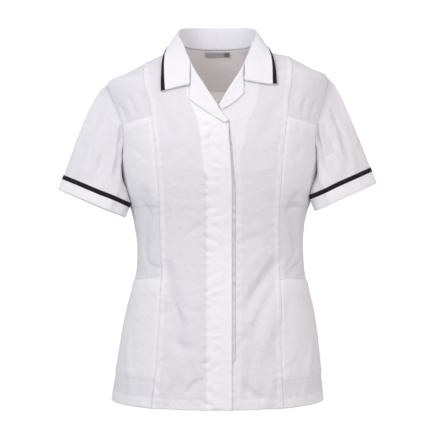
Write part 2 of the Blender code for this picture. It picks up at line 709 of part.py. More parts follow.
def make_collar(collection):
    """Stand, fall and the navy tape along the fall's outer edge."""
    stand, fall = collar_grids()
    stand_half = grid_normals(stand) * CLOTH / 2
    mesh = wall_mesh("collar_stand", stand + stand_half, stand - stand_half)
    add_piece(collection, "collar_stand", mesh, "white cloth")
    fall = fall[:, ::-1]
    fall_out = grid_normals(fall)
    mesh = wall_mesh("collar_fall", fall + fall_out * DOUBLE_CLOTH, fall)
    add_piece(collection, "collar_fall", mesh, "white cloth")
    edge, edge_out = fall[:, :2], fall_out[:, :2]
    low = DOUBLE_CLOTH + SEAM_GAP
    mesh = wall_mesh("collar_tape", edge + edge_out * (low + TAPE), edge + edge_out * low)
    add_piece(collection, "collar_tape", mesh, "navy tape")


def armhole_loop(side):
    """Armhole from the shoulder down the front to the underarm and up the back.

    The places are those of the panels' rows, with one halfway between each two. The second
    result is how far round each place lies, as an angle.
    """
    halves, angles = [], []
    for back in (False, True):
        turn, height = (line[UNDERARM_ROW:][::-1] for line in side_line(side, back))
        rows = body(turn, height)
        points = np.empty((2 * len(rows) - 1, 3))
        points[::2] = rows
        points[1::2] = (rows[1:] + rows[:-1]) / 2
        length = np.cumsum(np.linalg.norm(np.diff(points, axis=0), axis=1))
        halves.append(points)
        angles.append(math.pi * np.concatenate([[0], length / length[-1]]))
    (front, back), (front_angle, back_angle) = halves, angles
    return (np.concatenate([front[:-1], back[::-1][:-1]]),
            np.concatenate([front_angle[:-1], 2 * math.pi - back_angle[::-1][:-1]]))


def sleeve_rows(word):
    """Rings of the sleeve from the armhole to the top of the tape, then down to the cuff edge."""
    side = -1 if word == "right" else 1
    sizes = SLEEVES[word]
    outer, inner = np.array(sizes["outer"]), np.array(sizes["inner"])
    centre, arm = (outer + inner) / 2, (outer - inner) / 2
    axis = unit(np.array(sizes["axis"]))
    hole, around = armhole_loop(side)
    forward = unit(np.cross(arm, axis)) * -side
    ring = (centre + np.cos(around)[:, None] * arm
            + np.sin(around)[:, None] * forward * sizes["half_depth"])
    cuff_depth = sizes["cuff_depth"]
    band = cuff_depth + CUFF_TAPE_WIDTH
    top_ring = ring - axis * band
    top, under = (np.array(SLEEVE_START[key]) * (side, 1, 1) for key in ("top", "under"))
    weight = (1 + np.cos(around))[:, None] / 2
    start = top * weight + under * (1 - weight)
    start[:, 1] -= SLEEVE_BELLY * np.sin(around)
    start = unit(start)
    reach = np.linalg.norm(top_ring - hole, axis=1)[:, None]
    rows = []
    for t in SLEEVE_STEPS:
        from_hole = (1 + 2 * t) * (1 - t) ** 2 * hole
        leaving = t * (1 - t) ** 2 * SLEEVE_START_PULL * reach * start
        to_ring = t * t * (3 - 2 * t) * top_ring
        arriving = t * t * (t - 1) * SLEEVE_END_PULL * reach * axis
        row = from_hole + leaving + to_ring + arriving
        row = row + ring_rise(row, around, t)
        rows.append(clear_of_body(row, sleeve_clearance(t)) if t else row)
    end_rise = ring_rise(rows[-1], around, 1.0)
    for distance in (CUFF_TAPE_WIDTH / 2, CUFF_TAPE_WIDTH, CUFF_TAPE_WIDTH + cuff_depth / 2, band):
        rows.append(clear_of_body(top_ring + axis * distance + end_rise, SLEEVE_CLEARANCE))
    rows[0] = clear_of_body(rows[0] + start * 2 * SEAM_GAP, 2 * SEAM_GAP)
    return np.array(rows)


def sleeve_clearance(step):
    """The sleeve lifts off the armhole at once, and then hangs a little clear of the side."""
    share = SLEEVE_LIFT_OFF["share"]
    return SLEEVE_CLEARANCE * (share + (1 - share) * min(1, step / SLEEVE_LIFT_OFF["full_at"]))


def ring_rise(ring, around, step):
    """How the folds move a ring of the sleeve away from its own middle.

    The folds lie on a sheet of degrees round the sleeve against steps along it.
    """
    degrees = np.degrees(around)
    rise = 0 * degrees
    for row in range(len(SLEEVE_FOLDS["name"])):
        start, end = ((SLEEVE_FOLDS[f"{place}_turn"][row],
                       SLEEVE_FOLDS[f"{place}_step"][row] * SLEEVE_FOLD_SPAN)
                      for place in ("from", "to"))
        distance, _ = segment_distance(degrees, step * SLEEVE_FOLD_SPAN, start, end)
        rise = rise + SLEEVE_FOLDS["rise"][row] * ridge(distance / SLEEVE_FOLDS["width"][row])
    return unit(ring - ring.mean(axis=0)) * rise[:, None]


def ring_normals(rows, side):
    """Directions away from a sleeve's middle, from its rings."""
    around = np.roll(rows, -1, axis=1) - np.roll(rows, 1, axis=1)
    along = np.gradient(rows, axis=0)
    return unit(np.cross(around, along)) * side


def sleeve_band(collection, name, rows, span, low, high, colour, trimmed=None):
    """Tube between two rings of a sleeve; the end that is trimmed keeps a seam's gap."""
    first, last = span
    side = -1 if name.endswith("right") else 1
    rings = rows[first:last + 1].copy()
    away = ring_normals(rows, side)[first:last + 1]
    if trimmed == "top":
        rings[0] += unit(rings[1] - rings[0]) * SEAM_GAP
    if trimmed == "end":
        rings[-1] += unit(rings[-2] - rings[-1]) * SEAM_GAP
    outer, inner = rings + away * high, rings + away * low
    if side < 0:
        outer, inner = outer[:, ::-1], inner[:, ::-1]
    add_piece(collection, name, wall_mesh(name, outer, inner, ring=True), colour)


def make_sleeves(collection):
    """Each sleeve, the cuff below it and the navy tape over the seam between the two."""
    seam = len(SLEEVE_STEPS)
    for word in ("right", "left"):
        rows = sleeve_rows(word)
        sleeve_band(collection, f"sleeve_{word}", rows, (0, seam), -CLOTH, 0, "white cloth", "end")
        sleeve_band(collection, f"cuff_{word}", rows, (seam, seam + 3), -CLOTH, 0, "white cloth",
                    "top")
        sleeve_band(collection, f"cuff_tape_{word}", rows, (seam - 1, seam + 1), SEAM_GAP,
                    SEAM_GAP + TAPE, "navy tape")


def make_label(collection):
    """Plain label and its small tab, sewn inside the back of the neck."""
    width, depth = LABEL_SIZE
    lift = -CLOTH - TAPE - 2 * LAYER_GAP - LABEL_GAP
    places = (("neck_label", -width / 2, width / 2 - TAB_WIDTH, "grey label"),
              ("label_tab", width / 2 - TAB_WIDTH + SEAM_GAP, width / 2, "dark label"))
    heights = np.array([LABEL_HEIGHT - depth, LABEL_HEIGHT])
    for name, first, last, colour in places:
        lines = [(turn_at(np.full(2, out), heights, True) % (2 * BACK), heights)
                 for out in (last, first)]
        body_piece(collection, name, spread(lines, (3,)), thickness=TAPE / 2, lift=lift,
                   colour=colour)


def clear_scene():
    for item in list(bpy.data.objects):
        bpy.data.objects.remove(item, do_unlink=True)


def main():
    clear_scene()
    collection = bpy.data.collections.new("work_tunic")
    bpy.context.scene.collection.children.link(collection)
    grids = make_fronts(collection)
    make_pockets(collection, grids)
    make_placket(collection, grids)
    make_zip(collection)
    make_back(collection)
    make_lapel(collection, "right", RIGHT_LAPEL, -1)
    make_lapel(collection, "left", LEFT_LAPEL, 1)
    make_collar(collection)
    make_sleeves(collection)
    make_label(collection)


main()
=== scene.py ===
"""Look of a short-sleeved work tunic with a revere collar, a concealed front zip and four pockets.
Metres, +Z up, the front faces -Y. Right and left are the wearer's, and the right side is at -X.
"""

import math

import bpy
import numpy as np
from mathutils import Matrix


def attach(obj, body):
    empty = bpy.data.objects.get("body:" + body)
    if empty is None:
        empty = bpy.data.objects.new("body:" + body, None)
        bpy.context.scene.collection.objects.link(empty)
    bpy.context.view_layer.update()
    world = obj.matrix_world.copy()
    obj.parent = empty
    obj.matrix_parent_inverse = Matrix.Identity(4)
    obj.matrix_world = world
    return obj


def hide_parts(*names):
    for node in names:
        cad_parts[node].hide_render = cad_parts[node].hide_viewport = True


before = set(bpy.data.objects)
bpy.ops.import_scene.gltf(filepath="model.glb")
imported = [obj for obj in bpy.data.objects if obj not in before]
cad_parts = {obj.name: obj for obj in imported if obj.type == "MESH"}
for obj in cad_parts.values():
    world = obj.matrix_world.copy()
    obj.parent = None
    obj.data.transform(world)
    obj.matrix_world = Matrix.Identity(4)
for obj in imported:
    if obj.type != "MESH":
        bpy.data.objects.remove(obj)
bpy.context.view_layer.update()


def mm(*values):
    """Millimetres as metres."""
    return np.array(values) / 1000


SIDES = {"right": -1, "left": 1}
# Turns round the body from the centre front
SIDE, BACK = math.pi / 2, math.pi

# Cloth and thread
CLOTH, COLLAR_CLOTH, TAPE, THIN_LAYER = mm(0.9, 1.6, 0.6, 0.6)
STITCH_LENGTH, STITCH_PITCH, THREAD = mm(2.6, 3.4, 0.5)

# Body of the tunic, level by level
SQUARENESS = 2.2
BODY_LEVELS = {
    "height": mm(12, 0, -20, -40, -60, -73, -86, -112, -141, -168, -205, -243, -280, -315, -350, -400, -440,
                 -480, -530, -600, -660, -702),
    "half_width": mm(51, 70, 107, 146, 185, 213.5, 219, 214.5, 208.5, 204, 199, 194.5, 187, 177.5, 168.5,
                     163.5, 165, 173, 185.5, 196.5, 204, 209.5),
    "front": mm(54, 60, 72, 85, 96, 102, 107, 116, 124, 130, 135, 134, 129, 122, 116, 111, 112, 116, 122,
                127, 130, 132),
    "back": mm(72, 75.5, 83, 91, 99, 103, 107, 113, 118, 121, 121, 117, 112, 106, 101, 98, 101, 108, 118,
               127, 131, 133),
}
# Heights of the rows of cloth, from the hem up
LOW_ROWS = (-701, -681, -650, -618, -605, -560, -520, -489, -456, -425, -390, -355, -325, -290, -250, -220)
BODY_ROWS = {
    "front_edge": mm(*LOW_ROWS, -190, -165, -137, -112, -86, -60, -33, 0),
    "princess": mm(*LOW_ROWS, -185, -151, -132, -113, -94, -75, -56, -38),
    "side": mm(-697.5, -679, -650, -618, -605, -560, -525, -502, -466.5, -430, -390, -355, -325, -290, -243,
               -220, -195, -165, -148, -130, -112, -96, -84, -73),
    "back": mm(*LOW_ROWS, -190, -160, -133, -107, -80, -53, -26, 0),
}
ROW_STEPS = 8
LAST_ROW = len(BODY_ROWS["side"]) - 1
FLY_ROWS = (0, 17)
ZIP_ROWS = (3, 17)
UNDERARM_ROW = 14
FACING_ROW = 20
POCKET_ROWS = {"upper": (12, 17), "lower": (2, 8)}
CENTRE_COLUMNS, SIDE_COLUMNS, FLY_COLUMNS, ZIP_COLUMNS = 52, 32, 12, 14
BACK_COLUMNS = (30, 60, 30)
GATHER = 0.35

# Lines across the cloth: distance from the middle at each height
PRINCESS_SEAM = {
    "height": mm(-38, -66, -95, -121, -150, -180, -215, -264, -333, -403, -460, -511, -575, -656, -701),
    "out": mm(142, 142.5, 139, 132, 128.5, 124.5, 120.5, 117, 113, 113, 113.5, 114.5, 116, 120.5, 124.5),
}
ARMHOLE = {
    "height": mm(-73, -88, -112, -141, -168, -195, -220, -243),
    "front_out": mm(213.5, 216, 208, 195.5, 187, 185.5, 188, 194.5),
    "back_out": mm(213.5, 217, 211, 201, 194, 191.5, 191.5, 194.5),
}
BACK_LINE = {
    "height": mm(0, -40, -100, -200, -300, -400, -500, -701),
    "out": mm(70, 88, 100, 98, 90, 85, 93, 115),
}
# Edge of each front, up to the place where it folds out into the lapel, and on to the neck
FRONT_EDGE = {
    "right": {
        "height": mm(-701, -300, -250, -215, -190, -165.5, -162.5, -148, -128.5, -109.5, -86, -68, -52.1,
                     -33, -17, 0),
        "out": mm(27.5, 27.5, 25.8, 23.5, 21.5, 20.9, 19, 7.5, -4, -16.5, -31.2, -42.5, -50, -60, -66, -70),
    },
    "left": {
        "height": mm(-701, -618, -605, -300, -250, -215, -190, -174, -162, -150, -134, -111, -96.5, -82,
                     -69, -55, -33, -17, 0),
        "out": mm(25.5, 26.2, 34.4, 34.4, 30.6, 27.8, 25, 23, 12, 1, 3, 16, 25, 34, 42, 49, 60, 66, 70),
    },
}
# Edge of the facing inside each front, which shows through as a faint ridge
FACING_LINES = {
    "right": {"height": mm(-270, -230, -195, -160, -140, -115),
              "out": mm(-22.5, -27, -31, -36.5, -45, -59)},
    "left": {"height": mm(-260, -225, -190, -160, -130, -95), "out": mm(37, 42, 51, 57, 70, 77.5)},
}

# Seams, hems, placket, zip and pockets
BAND_WIDTH, BAND_RISE, HEM_DEPTH, HEM_SWELL = mm(9.5, 0.7, 19, 0.3)
PRINCESS_STITCHES = mm(1.6, 9.2)
PLACKET_STITCH, PLACKET_INSIDE, PLACKET_TURN = mm(-20.5, 19, 30)
PLACKET_TOP, PLACKET_CURL, PLACKET_FOOT = mm(-160, -640, 18)
ZIP_INNER, ZIP_UNDER_LEFT, ZIP_STITCH, ZIP_BAR_HEIGHT = mm(12, 4, 5.5, -603)
ZIP_BAR_ENDS, BEHIND_LAPEL = mm((26.8, 35), (-185, -130))
GAP_FOOT = -0.612
FLY_SUNK, ZIP_SUNK, FACING_SUNK = mm(0.3, 1.6, 0.5)
POCKET_STITCH, POCKET_FOOT, POCKET_LIFT, POCKET_GAP = mm(2.4, 9, 1.1, 3.4)
BARTACK_OUT, BARTACK_HEIGHT, BARTACK_WIDTH, BARTACK_LIFT = mm(115, -460, 6, 2.2)
POCKET_HEM = {"upper": 0.0130, "lower": 0.0290}
POCKET_SUNK = {"upper": 0.0016, "lower": 0.0015}
POCKET_BACKED = {"upper": 0.55, "lower": 0.45}

# Pinches at rows of stitches: pitch, depth and reach in millimetres, and where their wave starts
PUCKERS = {
    "hem": (13, 0.6, 9, 0.7),
    "princess_right": (17, 1.0, 10, -0.7),
    "princess_left": (17, 1.0, 10, 1.3),
    "placket": (19, 2.6, 8, 0.4),
    "placket_inside": (21, 2.0, 8, 1.7),
    "zip_edge": (17.5, 1.5, 4.5, 1.2),
    "side_panel_first": (15, 0.6, 9, 1.1),
    "side_panel_last": (19, 0.6, 10, 2.1),
    "back_seam": (19, 0.6, 10, 0.9),
    "pocket_hem": (13, 0.4, 7, 0.5),
    "pocket_side": (18, 0.5, 9, 1.4),
    "upper_pocket_foot": (18, 0.4, 6, 2.4),
    "lower_pocket_foot": (18, 1.0, 6, 2.4),
    "lapel": (14, 0.22, 6, 0.9),
    "collar_edge": (16, 0.4, 6, 0.4),
    "collar_seam": (19, 0.9, 8, 1.3),
    "collar_stand": (24, 0.8, 9, 2.2),
    "sleeve_hem": (13, 0.3, 7, 0.5),
}

# Lapels: the fold and the outer edge, from the gorge down
LAPELS = {
    "right": {
        "fold_out": mm(-50, -42.5, -31.2, -16.5, -4, 7.5, 19),
        "fold_height": mm(-52.1, -68, -86, -109.5, -128.5, -148, -162.5),
        "edge_out": mm(-51.8, -53.3, -42, -26, -10, 3, 14.1),
        "edge_height": mm(-94.5, -120.5, -129.5, -140.5, -151.2, -159.2, -166),
    },
    "left": {
        "fold_out": mm(49, 42, 34, 25, 16, 3.6),
        "fold_height": mm(-55, -69, -82, -96.5, -111, -134),
        "edge_out": mm(48.7, 48.7, 40, 31, 19.5, 7.2),
        "edge_height": mm(-86, -110, -118.5, -126.5, -134, -141.2),
    },
}
LAPEL_ROLL, LAPEL_FACING, LAPEL_LIFT = mm(1.6, 12, 1.6)
LAPEL_GROOVE, LAPEL_STITCH, LAPEL_STEP, LAPEL_PITCH = mm(7.5, 6.8, 1.8, 1.6)
LAPEL_FOOT = {"right": -0.150, "left": -0.190}
LAPEL_ROWS, LAPEL_COLUMNS = 72, 26

# Collar: turns of its seam behind the neck in degrees, then places of its roll and edge from the
# centre back
COLLAR_BACK = {
    "seam_turn": (180, 155, 132, 108, 92),
    "roll": mm((0, 86, 48.8), (34, 79, 48.2), (60, 59, 44.8), (75.2, 27, 36.5), (76.5, -6, 20.5)),
    "edge": mm((0, 96, -12.5), (44, 88, -12.5), (80, 60, -12), (96.5, 24, -8.5), (101, -18, -13)),
}
COLLAR_FRONT = {
    "seam_out": mm(64.8, 58.6, 49.2),
    "seam_height": mm(-16, -32.2, -50.5),
    "roll_out": mm(69, 61, 51.2),
    "roll_height": mm(1, -21, -48),
    "roll_lean": mm(15, 7, -1.5),
}
COLLAR_EDGE = {
    "right": {"out": mm(104.8, 106.4, 107), "height": mm(-42, -74, -104)},
    "left": {"out": mm(105.2, 108.6, 109.2), "height": mm(-39, -66, -94.5)},
}
COLLAR_NOTCH = {"right": mm(52.2, -93.5), "left": mm(50, -85)}
COLLAR_LIFT = {"notch": 0.0032, "edge": 0.0042}
COLLAR_CLEARANCE, COLLAR_TAPE_WIDTH, COLLAR_GROOVE, COLLAR_STITCH = mm(2.2, 7.5, 10, 10.5)
ROLL_REACH, COLLAR_STEP, COLLAR_PITCH, COLLAR_TAPE_LIFT = mm(5, 4.5, 4, 0.55)
COLLAR_TURNS = 10
FALL_STEPS = (0.0, 0.16, 0.42, 0.70)
STAND_COLUMNS, ROLL_COLUMNS, FALL_COLUMNS, LEAD_COLUMNS = 8, 7, 30, 5

# Sleeves: outer and inner end of each cuff, and the way that the arm points
SLEEVES = {
    "right": {"outer": mm(-312.6, -4, -287), "inner": mm(-184, -46, -341), "axis": (-0.36, -0.06, -0.93)},
    "left": {"outer": mm(312, -4, -274), "inner": mm(187, -46, -328.5), "axis": (0.38, 0.0, -0.925)},
}
CUFF_DEPTH = {"right": 0.0212, "left": 0.0244}
CUFF_TAPE_WIDTH, CUFF_HALF_DEPTH = mm(8.8, 41)
CUFF_LIFT, CUFF_TAPE_LIFT, CUFF_TAPE_EDGE = mm(0.6, 1.1, 0.7)
SLEEVE_START = {"top": (0.80, 0.0, -0.60), "under": (0.22, -0.05, -0.95)}
SLEEVE_BELLY, SLEEVE_START_PULL, SLEEVE_END_PULL = 0.12, 0.75, 0.85
SLEEVE_CLEARANCE, SLEEVE_SEATED, SEAM_DIP, TUCKED_IN, TUCKED_UNDER = mm(1.3, 0.7, 1.8, 0.3, 0.4)
SLEEVE_ROWS, TAPE_ROWS, CUFF_ROWS, MEASURED_ROW = 64, 6, 11, 40

# Lean of the whole tunic
HANG_ASIDE = {
    "height": mm(-702, -660, -610, -560, -500, -440, -400, -350, -300, -140, -80, 0),
    "shift": mm(0, 1.5, 3, 4.2, 5.5, 5.8, 5.2, 3.6, 3.6, 3.6, 1, 0),
}
ASIDE_FROM, ASIDE_TO, RISE_FADE = mm((35, 95), (195, 235), (-155, -75))
SHOULDER_RISE = {
    "height": mm(94, 120, 142, 165, 190, 220, 250, 320),
    "rise": mm(0, 7, 12, 12, 11, 11.5, 9, 0),
}

# Label inside the back of the neck
LABEL_WIDTH, LABEL_DEPTH, LABEL_TOP, TAB_WIDTH, LABEL_GAP = mm(52, 8.4, -3.4, 12, 0.3)
LABEL_SUNK, SATIN = mm(4.7, 0.4)

# Large folds, the same as the solids have: degrees from the centre front and height of both ends, width
# and rise
FOLD_RADIUS = 0.165
PLACKET_FLAT = mm(46, 66)
FOLDS = (
    (-38, -440, -16, -560, 26, -4.0),
    (-30, -520, -10, -630, 22, -3.5),
    (40, -430, 12, -560, 26, -4.5),
    (36, -500, 14, -620, 24, 3.5),
    (8, -620, 24, -700, 22, -4.5),
    (-8, -600, -26, -700, 22, -3.5),
    (-62, -400, -50, -300, 24, -4.5),
    (62, -400, 52, -310, 24, -4.5),
    (150, -380, 164, -470, 26, -4.5),
    (-150, -390, -166, -460, 26, -4.0),
    (160, -500, 152, -700, 34, 5.0),
    (-158, -490, -150, -700, 36, 4.5),
    (138, -170, 160, -270, 36, -3.5),
    (-140, -180, -160, -260, 36, -3.2),
)
# Finer creases, in millimetres: distance from the middle and height of both ends, how far the middle
# of the crease bows aside, width and rise
FRONT_CREASES = (
    (-100, -420, -70, -600, 10, 12, -1.9),
    (-55, -500, -35, -640, 6, 10, 1.6),
    (105, -420, 45, -545, 8, 13, -2.9),
    (85, -400, 40, -470, 5, 10, 1.6),
    (60, -560, 50, -690, -6, 12, -1.9),
    (-150, -400, -120, -455, 4, 10, -2.2),
    (150, -405, 118, -450, 4, 10, -2.2),
    (-155, -300, -125, -345, 4, 12, -1.9),
    (160, -290, 125, -340, 4, 12, -2.2),
    (-165, -205, -130, -235, 3, 10, -1.3),
    (165, -200, 130, -240, 3, 12, -0.8),
    (-115, -110, -80, -200, 6, 16, -1.6),
    (118, -110, 85, -210, 6, 16, -1.9),
    (-150, -80, -135, -140, 4, 14, -1.6),
    (155, -75, 140, -140, 4, 14, -1.6),
    (-175, -560, -160, -690, 4, 14, 2.6),
    (178, -570, 165, -690, 4, 14, 2.6),
    (-100, -640, -95, -700, 0, 14, 2.6),
    (100, -630, 96, -700, 0, 14, 2.2),
    (-96.5, -486.5, -66.6, -542.6, 0, 9, -4.0),
    (-70, -511, -14, -518, 4, 10, -2.4),
    (-98, -567, -33, -593, 4, 14, -3.5),
    (-23.4, -642, -61, -674, 3, 9, -3.2),
    (-61, -380, -14, -350, -4, 10, -2.2),
    (109.4, -417.4, 45.8, -529.6, 6, 18, -4.2),
    (98, -458.5, 42, -561, 6, 17, 3.0),
    (38, -589, 53, -561, 0, 8, -2.4),
    (42, -645, 89, -683, 6, 10, -4.2),
    (83, -374, 42, -393, 3, 12, -2.2),
    (155, -318, 126, -338, 2, 10, -4.5),
    (155, -432, 125, -452, 2, 11, -4.5),
    (-190, -126, -176, -163, 1, 9, -4.6),
    (-179, -118, -168, -150, 0, 6, 2.8),
    (-171, -110, -158, -146, 1, 6, -2.8),
    (186, -120, 172, -160, 1, 9, -3.6),
    (168, -112, 156, -148, 0, 7, -2.4),
    (-136, -428, -112, -440, 2, 6, -3.2),
    (-112, -440, -134, -452, -2, 6, 2.4),
)
BACK_CREASES = (
    (50, -380, 90, -440, 4, 12, -2.2),
    (-45, -395, -85, -450, 4, 12, -2.2),
    (10, -410, 60, -500, 6, 14, -1.9),
    (-15, -420, -60, -510, 6, 14, -1.9),
    (110, -180, 70, -300, 8, 18, -2.2),
    (-115, -190, -75, -310, 8, 18, -2.2),
    (40, -520, 50, -700, 5, 18, 3.2),
    (-30, -540, -45, -700, 5, 18, 3.2),
    (120, -560, 135, -700, 4, 16, -2.6),
    (-125, -550, -135, -700, 4, 16, -2.6),
    (155, -330, 120, -380, 4, 12, -2.2),
    (-155, -335, -120, -390, 4, 12, -2.2),
)
# Folds and creases of the sleeves: degrees round the arm from the top over the front, and the share
# of the sleeve's length, at both ends, then width in degrees and rise in millimetres
SLEEVE_SPAN = 90
SLEEVE_FOLDS = (
    (105, 0.10, 88, 0.92, 18, -4.5),
    (140, 0.15, 128, 1.00, 16, 5.0),
    (40, 0.30, 52, 1.00, 22, -3.0),
    (250, 0.12, 265, 0.95, 20, -4.5),
    (205, 0.10, 215, 0.95, 18, 4.0),
)
SLEEVE_CREASES = {
    "right": (
        (110, 0.04, 134, 0.84, 13, -4.2),
        (96, 0.10, 118, 0.92, 8, 3.0),
        (82, 0.25, 104, 0.96, 9, -3.4),
        (68, 0.35, 90, 0.96, 9, 2.6),
        (60, 0.06, 84, 0.55, 10, -3.2),
        (30, 0.04, 50, 0.45, 13, -2.6),
        (275, 0.05, 262, 0.60, 9, -2.8),
        (215, 0.05, 240, 0.45, 10, -2.8),
        (300, 0.35, 285, 0.95, 10, -2.0),
        (335, 0.30, 345, 0.90, 12, 2.0),
    ),
    "left": (
        (108, 0.05, 130, 0.80, 14, -5.2),
        (92, 0.05, 108, 0.40, 9, 3.6),
        (78, 0.12, 98, 0.62, 9, -4.6),
        (58, 0.40, 72, 0.92, 9, -3.4),
        (72, 0.45, 96, 0.96, 11, 3.4),
        (120, 0.55, 138, 0.95, 8, 2.2),
        (112, 0.42, 92, 0.50, 6, -2.6),
        (44, 0.08, 60, 0.70, 11, -3.8),
        (268, 0.08, 255, 0.55, 10, -2.8),
        (222, 0.05, 236, 0.50, 10, -2.8),
        (306, 0.30, 290, 0.95, 11, -2.0),
        (230, 0.50, 225, 1.00, 9, 2.4),
    ),
}


# Shape of the cloth

def curve(table, column, at):
    """Smooth reading of a column of a table against its heights, with no overshoot."""
    order = np.argsort(table["height"])
    heights, values = table["height"][order], table[column][order]
    slopes = np.diff(values) / np.diff(heights)
    joint = np.zeros(len(values))
    same = slopes[:-1] * slopes[1:] > 0
    joint[1:-1][same] = 2 * slopes[:-1][same] * slopes[1:][same] / (slopes[:-1] + slopes[1:])[same]
    joint[0], joint[-1] = slopes[0], slopes[-1]
    at = np.clip(np.asarray(at, float), heights[0], heights[-1])
    cell = np.clip(np.searchsorted(heights, at) - 1, 0, len(slopes) - 1)
    span = heights[cell + 1] - heights[cell]
    t = (at - heights[cell]) / span
    return ((1 + 2 * t) * (1 - t) ** 2 * values[cell] + t * (1 - t) ** 2 * span * joint[cell]
            + t * t * (3 - 2 * t) * values[cell + 1] + t * t * (t - 1) * span * joint[cell + 1])


def unit(vectors):
    return vectors / np.maximum(np.linalg.norm(vectors, axis=-1, keepdims=True), 1e-12)


def soft_step(value, start, end):
    """0 up to start, 1 from end on, and an even passage between them."""
    t = np.clip((value - start) / (end - start), 0, 1)
    return t * t * (3 - 2 * t)


def soft_end(value, start, end):
    """1 up to start and 0 from end on."""
    return 1 - soft_step(value, start, end)


def ridge(distance):
    """Soft cross section of a fold, 1 on its line and 0 from its width outwards."""
    return (1 - np.minimum(np.abs(distance), 1) ** 2) ** 2


def bell(distance):
    """Rise with long soft feet, 1 on its line."""
    return np.exp(-distance ** 2)


def rounding(distance):
    """How far a rounded edge falls away: 1 at the edge and 0 from its width inwards."""
    return (1 - np.clip(distance, 0, 1)) ** 2


# Small reliefs of the cloth: cross section, then rise and width in millimetres
RELIEFS = {
    "hem_groove": (ridge, -0.35, 2.0),
    "princess_groove": (ridge, -0.3, 1.8),
    "placket_groove": (ridge, -0.45, 2.2),
    "placket_swell": (bell, 0.5, 4.0),
    "placket_edge": (rounding, -0.7, 1.4),
    "zip_groove": (ridge, -0.35, 1.6),
    "zip_edge": (rounding, -0.6, 1.4),
    "facing_edge": (bell, 0.45, 2.2),
    "side_panel_first": (bell, -0.1, 2.4),
    "side_panel_last": (bell, -0.3, 2.2),
    "back_seam": (bell, -0.4, 2.2),
    "pocket_first": (bell, -0.6, 3.5),
    "pocket_last": (bell, -0.5, 3.0),
    "pocket_groove": (ridge, -0.7, 2.0),
    "neck_facing_groove": (ridge, -0.3, 1.5),
    "lapel_edge": (rounding, -0.9, 1.6),
    "lapel_swell": (ridge, 0.5, 6.0),
    "lapel_groove": (ridge, -0.25, 1.5),
    "collar_groove": (ridge, -0.25, 1.5),
    "collar_edge": (rounding, -0.5, 1.6),
    "tape_edge": (rounding, -0.35, 1.2),
    "cuff_edge": (rounding, -0.5, 1.8),
}


def relief(off, name):
    """Rise of one of the small reliefs at this distance from its line."""
    section, rise, width = RELIEFS[name]
    return rise / 1000 * section(off * 1000 / width)


def body_depth(is_front, height):
    return np.where(is_front, curve(BODY_LEVELS, "front", height), curve(BODY_LEVELS, "back", height))


def bare_body(turn, height):
    """Point of the body's outer face before folds: turn 0 is the centre front, + to the left."""
    sine, cosine = np.sin(turn), np.cos(turn)
    power = 2 / SQUARENESS
    x = curve(BODY_LEVELS, "half_width", height) * np.sign(sine) * np.abs(sine) ** power
    y = -body_depth(cosine > 0, height) * np.sign(cosine) * np.abs(cosine) ** power
    return np.stack([x, y, height + 0 * turn], axis=-1)


def turn_at(out, height, back=False):
    """Turn of the point of the body that lies this far from the middle plane."""
    ratio = np.clip(np.abs(out) / curve(BODY_LEVELS, "half_width", height), 0, 1)
    turn = np.sign(out) * np.arcsin(ratio ** (SQUARENESS / 2))
    return np.where(back, np.sign(out) * BACK - turn, turn)


def body_ratio(points):
    """1 on the body's form, less inside it and more outside."""
    x, y, height = np.moveaxis(points, -1, 0)
    across = np.abs(x) / curve(BODY_LEVELS, "half_width", height)
    deep = np.abs(y) / body_depth(y < 0, height)
    return (across ** SQUARENESS + deep ** SQUARENESS) ** (1 / SQUARENESS)


def clear_of_body(points, clearance):
    """Push points straight out of the body's form until they are clear of it."""
    step = 1e-4
    for _ in range(3):
        slope = np.stack([(body_ratio(points + step * way) - body_ratio(points - step * way)) / (2 * step)
                          for way in np.eye(3)], axis=-1)
        steepness = np.linalg.norm(slope, axis=-1)
        short = np.maximum(0, clearance - (body_ratio(points) - 1) / steepness)
        points = points + slope / steepness[..., None] * short[..., None]
    return points


def line_distance(across, along, start, end, bow):
    """Distance to a bowed line between two places, and how far along it the nearest place is."""
    line = np.array(end, float) - np.array(start, float)
    length = math.hypot(*line)
    x, y = across - start[0], along - start[1]
    t = (x * line[0] + y * line[1]) / length ** 2
    held = np.clip(t, 0, 1)
    side = (x * line[1] - y * line[0]) / length - bow * 4 * held * (1 - held)
    return np.hypot(side, (t - held) * length), held


def folds_rise(across, along, folds, faded):
    """How far folds lift the cloth. Faded ones die away towards both ends."""
    rise = 0 * across
    for start, end, bow, width, amount in folds:
        distance, share = line_distance(across, along, start, end, bow)
        fade = 1 - np.abs(2 * share - 1) ** 3 if faded else 1
        rise = rise + amount * fade * ridge(distance / width)
    return rise


def on_body(turn, height):
    return float(turn) * FOLD_RADIUS, height


BODY_FOLDS = [(on_body(math.radians(start), low / 1000), on_body(math.radians(end), high / 1000), 0,
               width / 1000, rise / 1000) for start, low, end, high, width, rise in FOLDS]
BODY_CREASES = {back: [(on_body(turn_at(a, b, back), b), on_body(turn_at(c, d, back), d), bow, width, rise)
                       for a, b, c, d, bow, width, rise in mm(*table)]
                for back, table in ((False, FRONT_CREASES), (True, BACK_CREASES))}


def round_body(turn):
    """Distance round the body from the centre front, less than half a round to each side."""
    return np.where(turn > BACK + 1e-6, turn - 2 * BACK, turn) * FOLD_RADIUS


def body_rise(turn, height):
    """How far the large folds lift the body's cloth. The placket stays flat."""
    across = round_body(turn)
    rise = folds_rise(across, height, BODY_FOLDS, False)
    return np.where(np.cos(turn) > 0, rise * soft_step(np.abs(across), *PLACKET_FLAT), rise)


def crease_rise(turn, height):
    """Fine creases of front and back."""
    across = round_body(turn)
    front, back = (folds_rise(across, height, BODY_CREASES[is_back], True) for is_back in (False, True))
    return np.where(np.cos(turn) < 0, back, front)


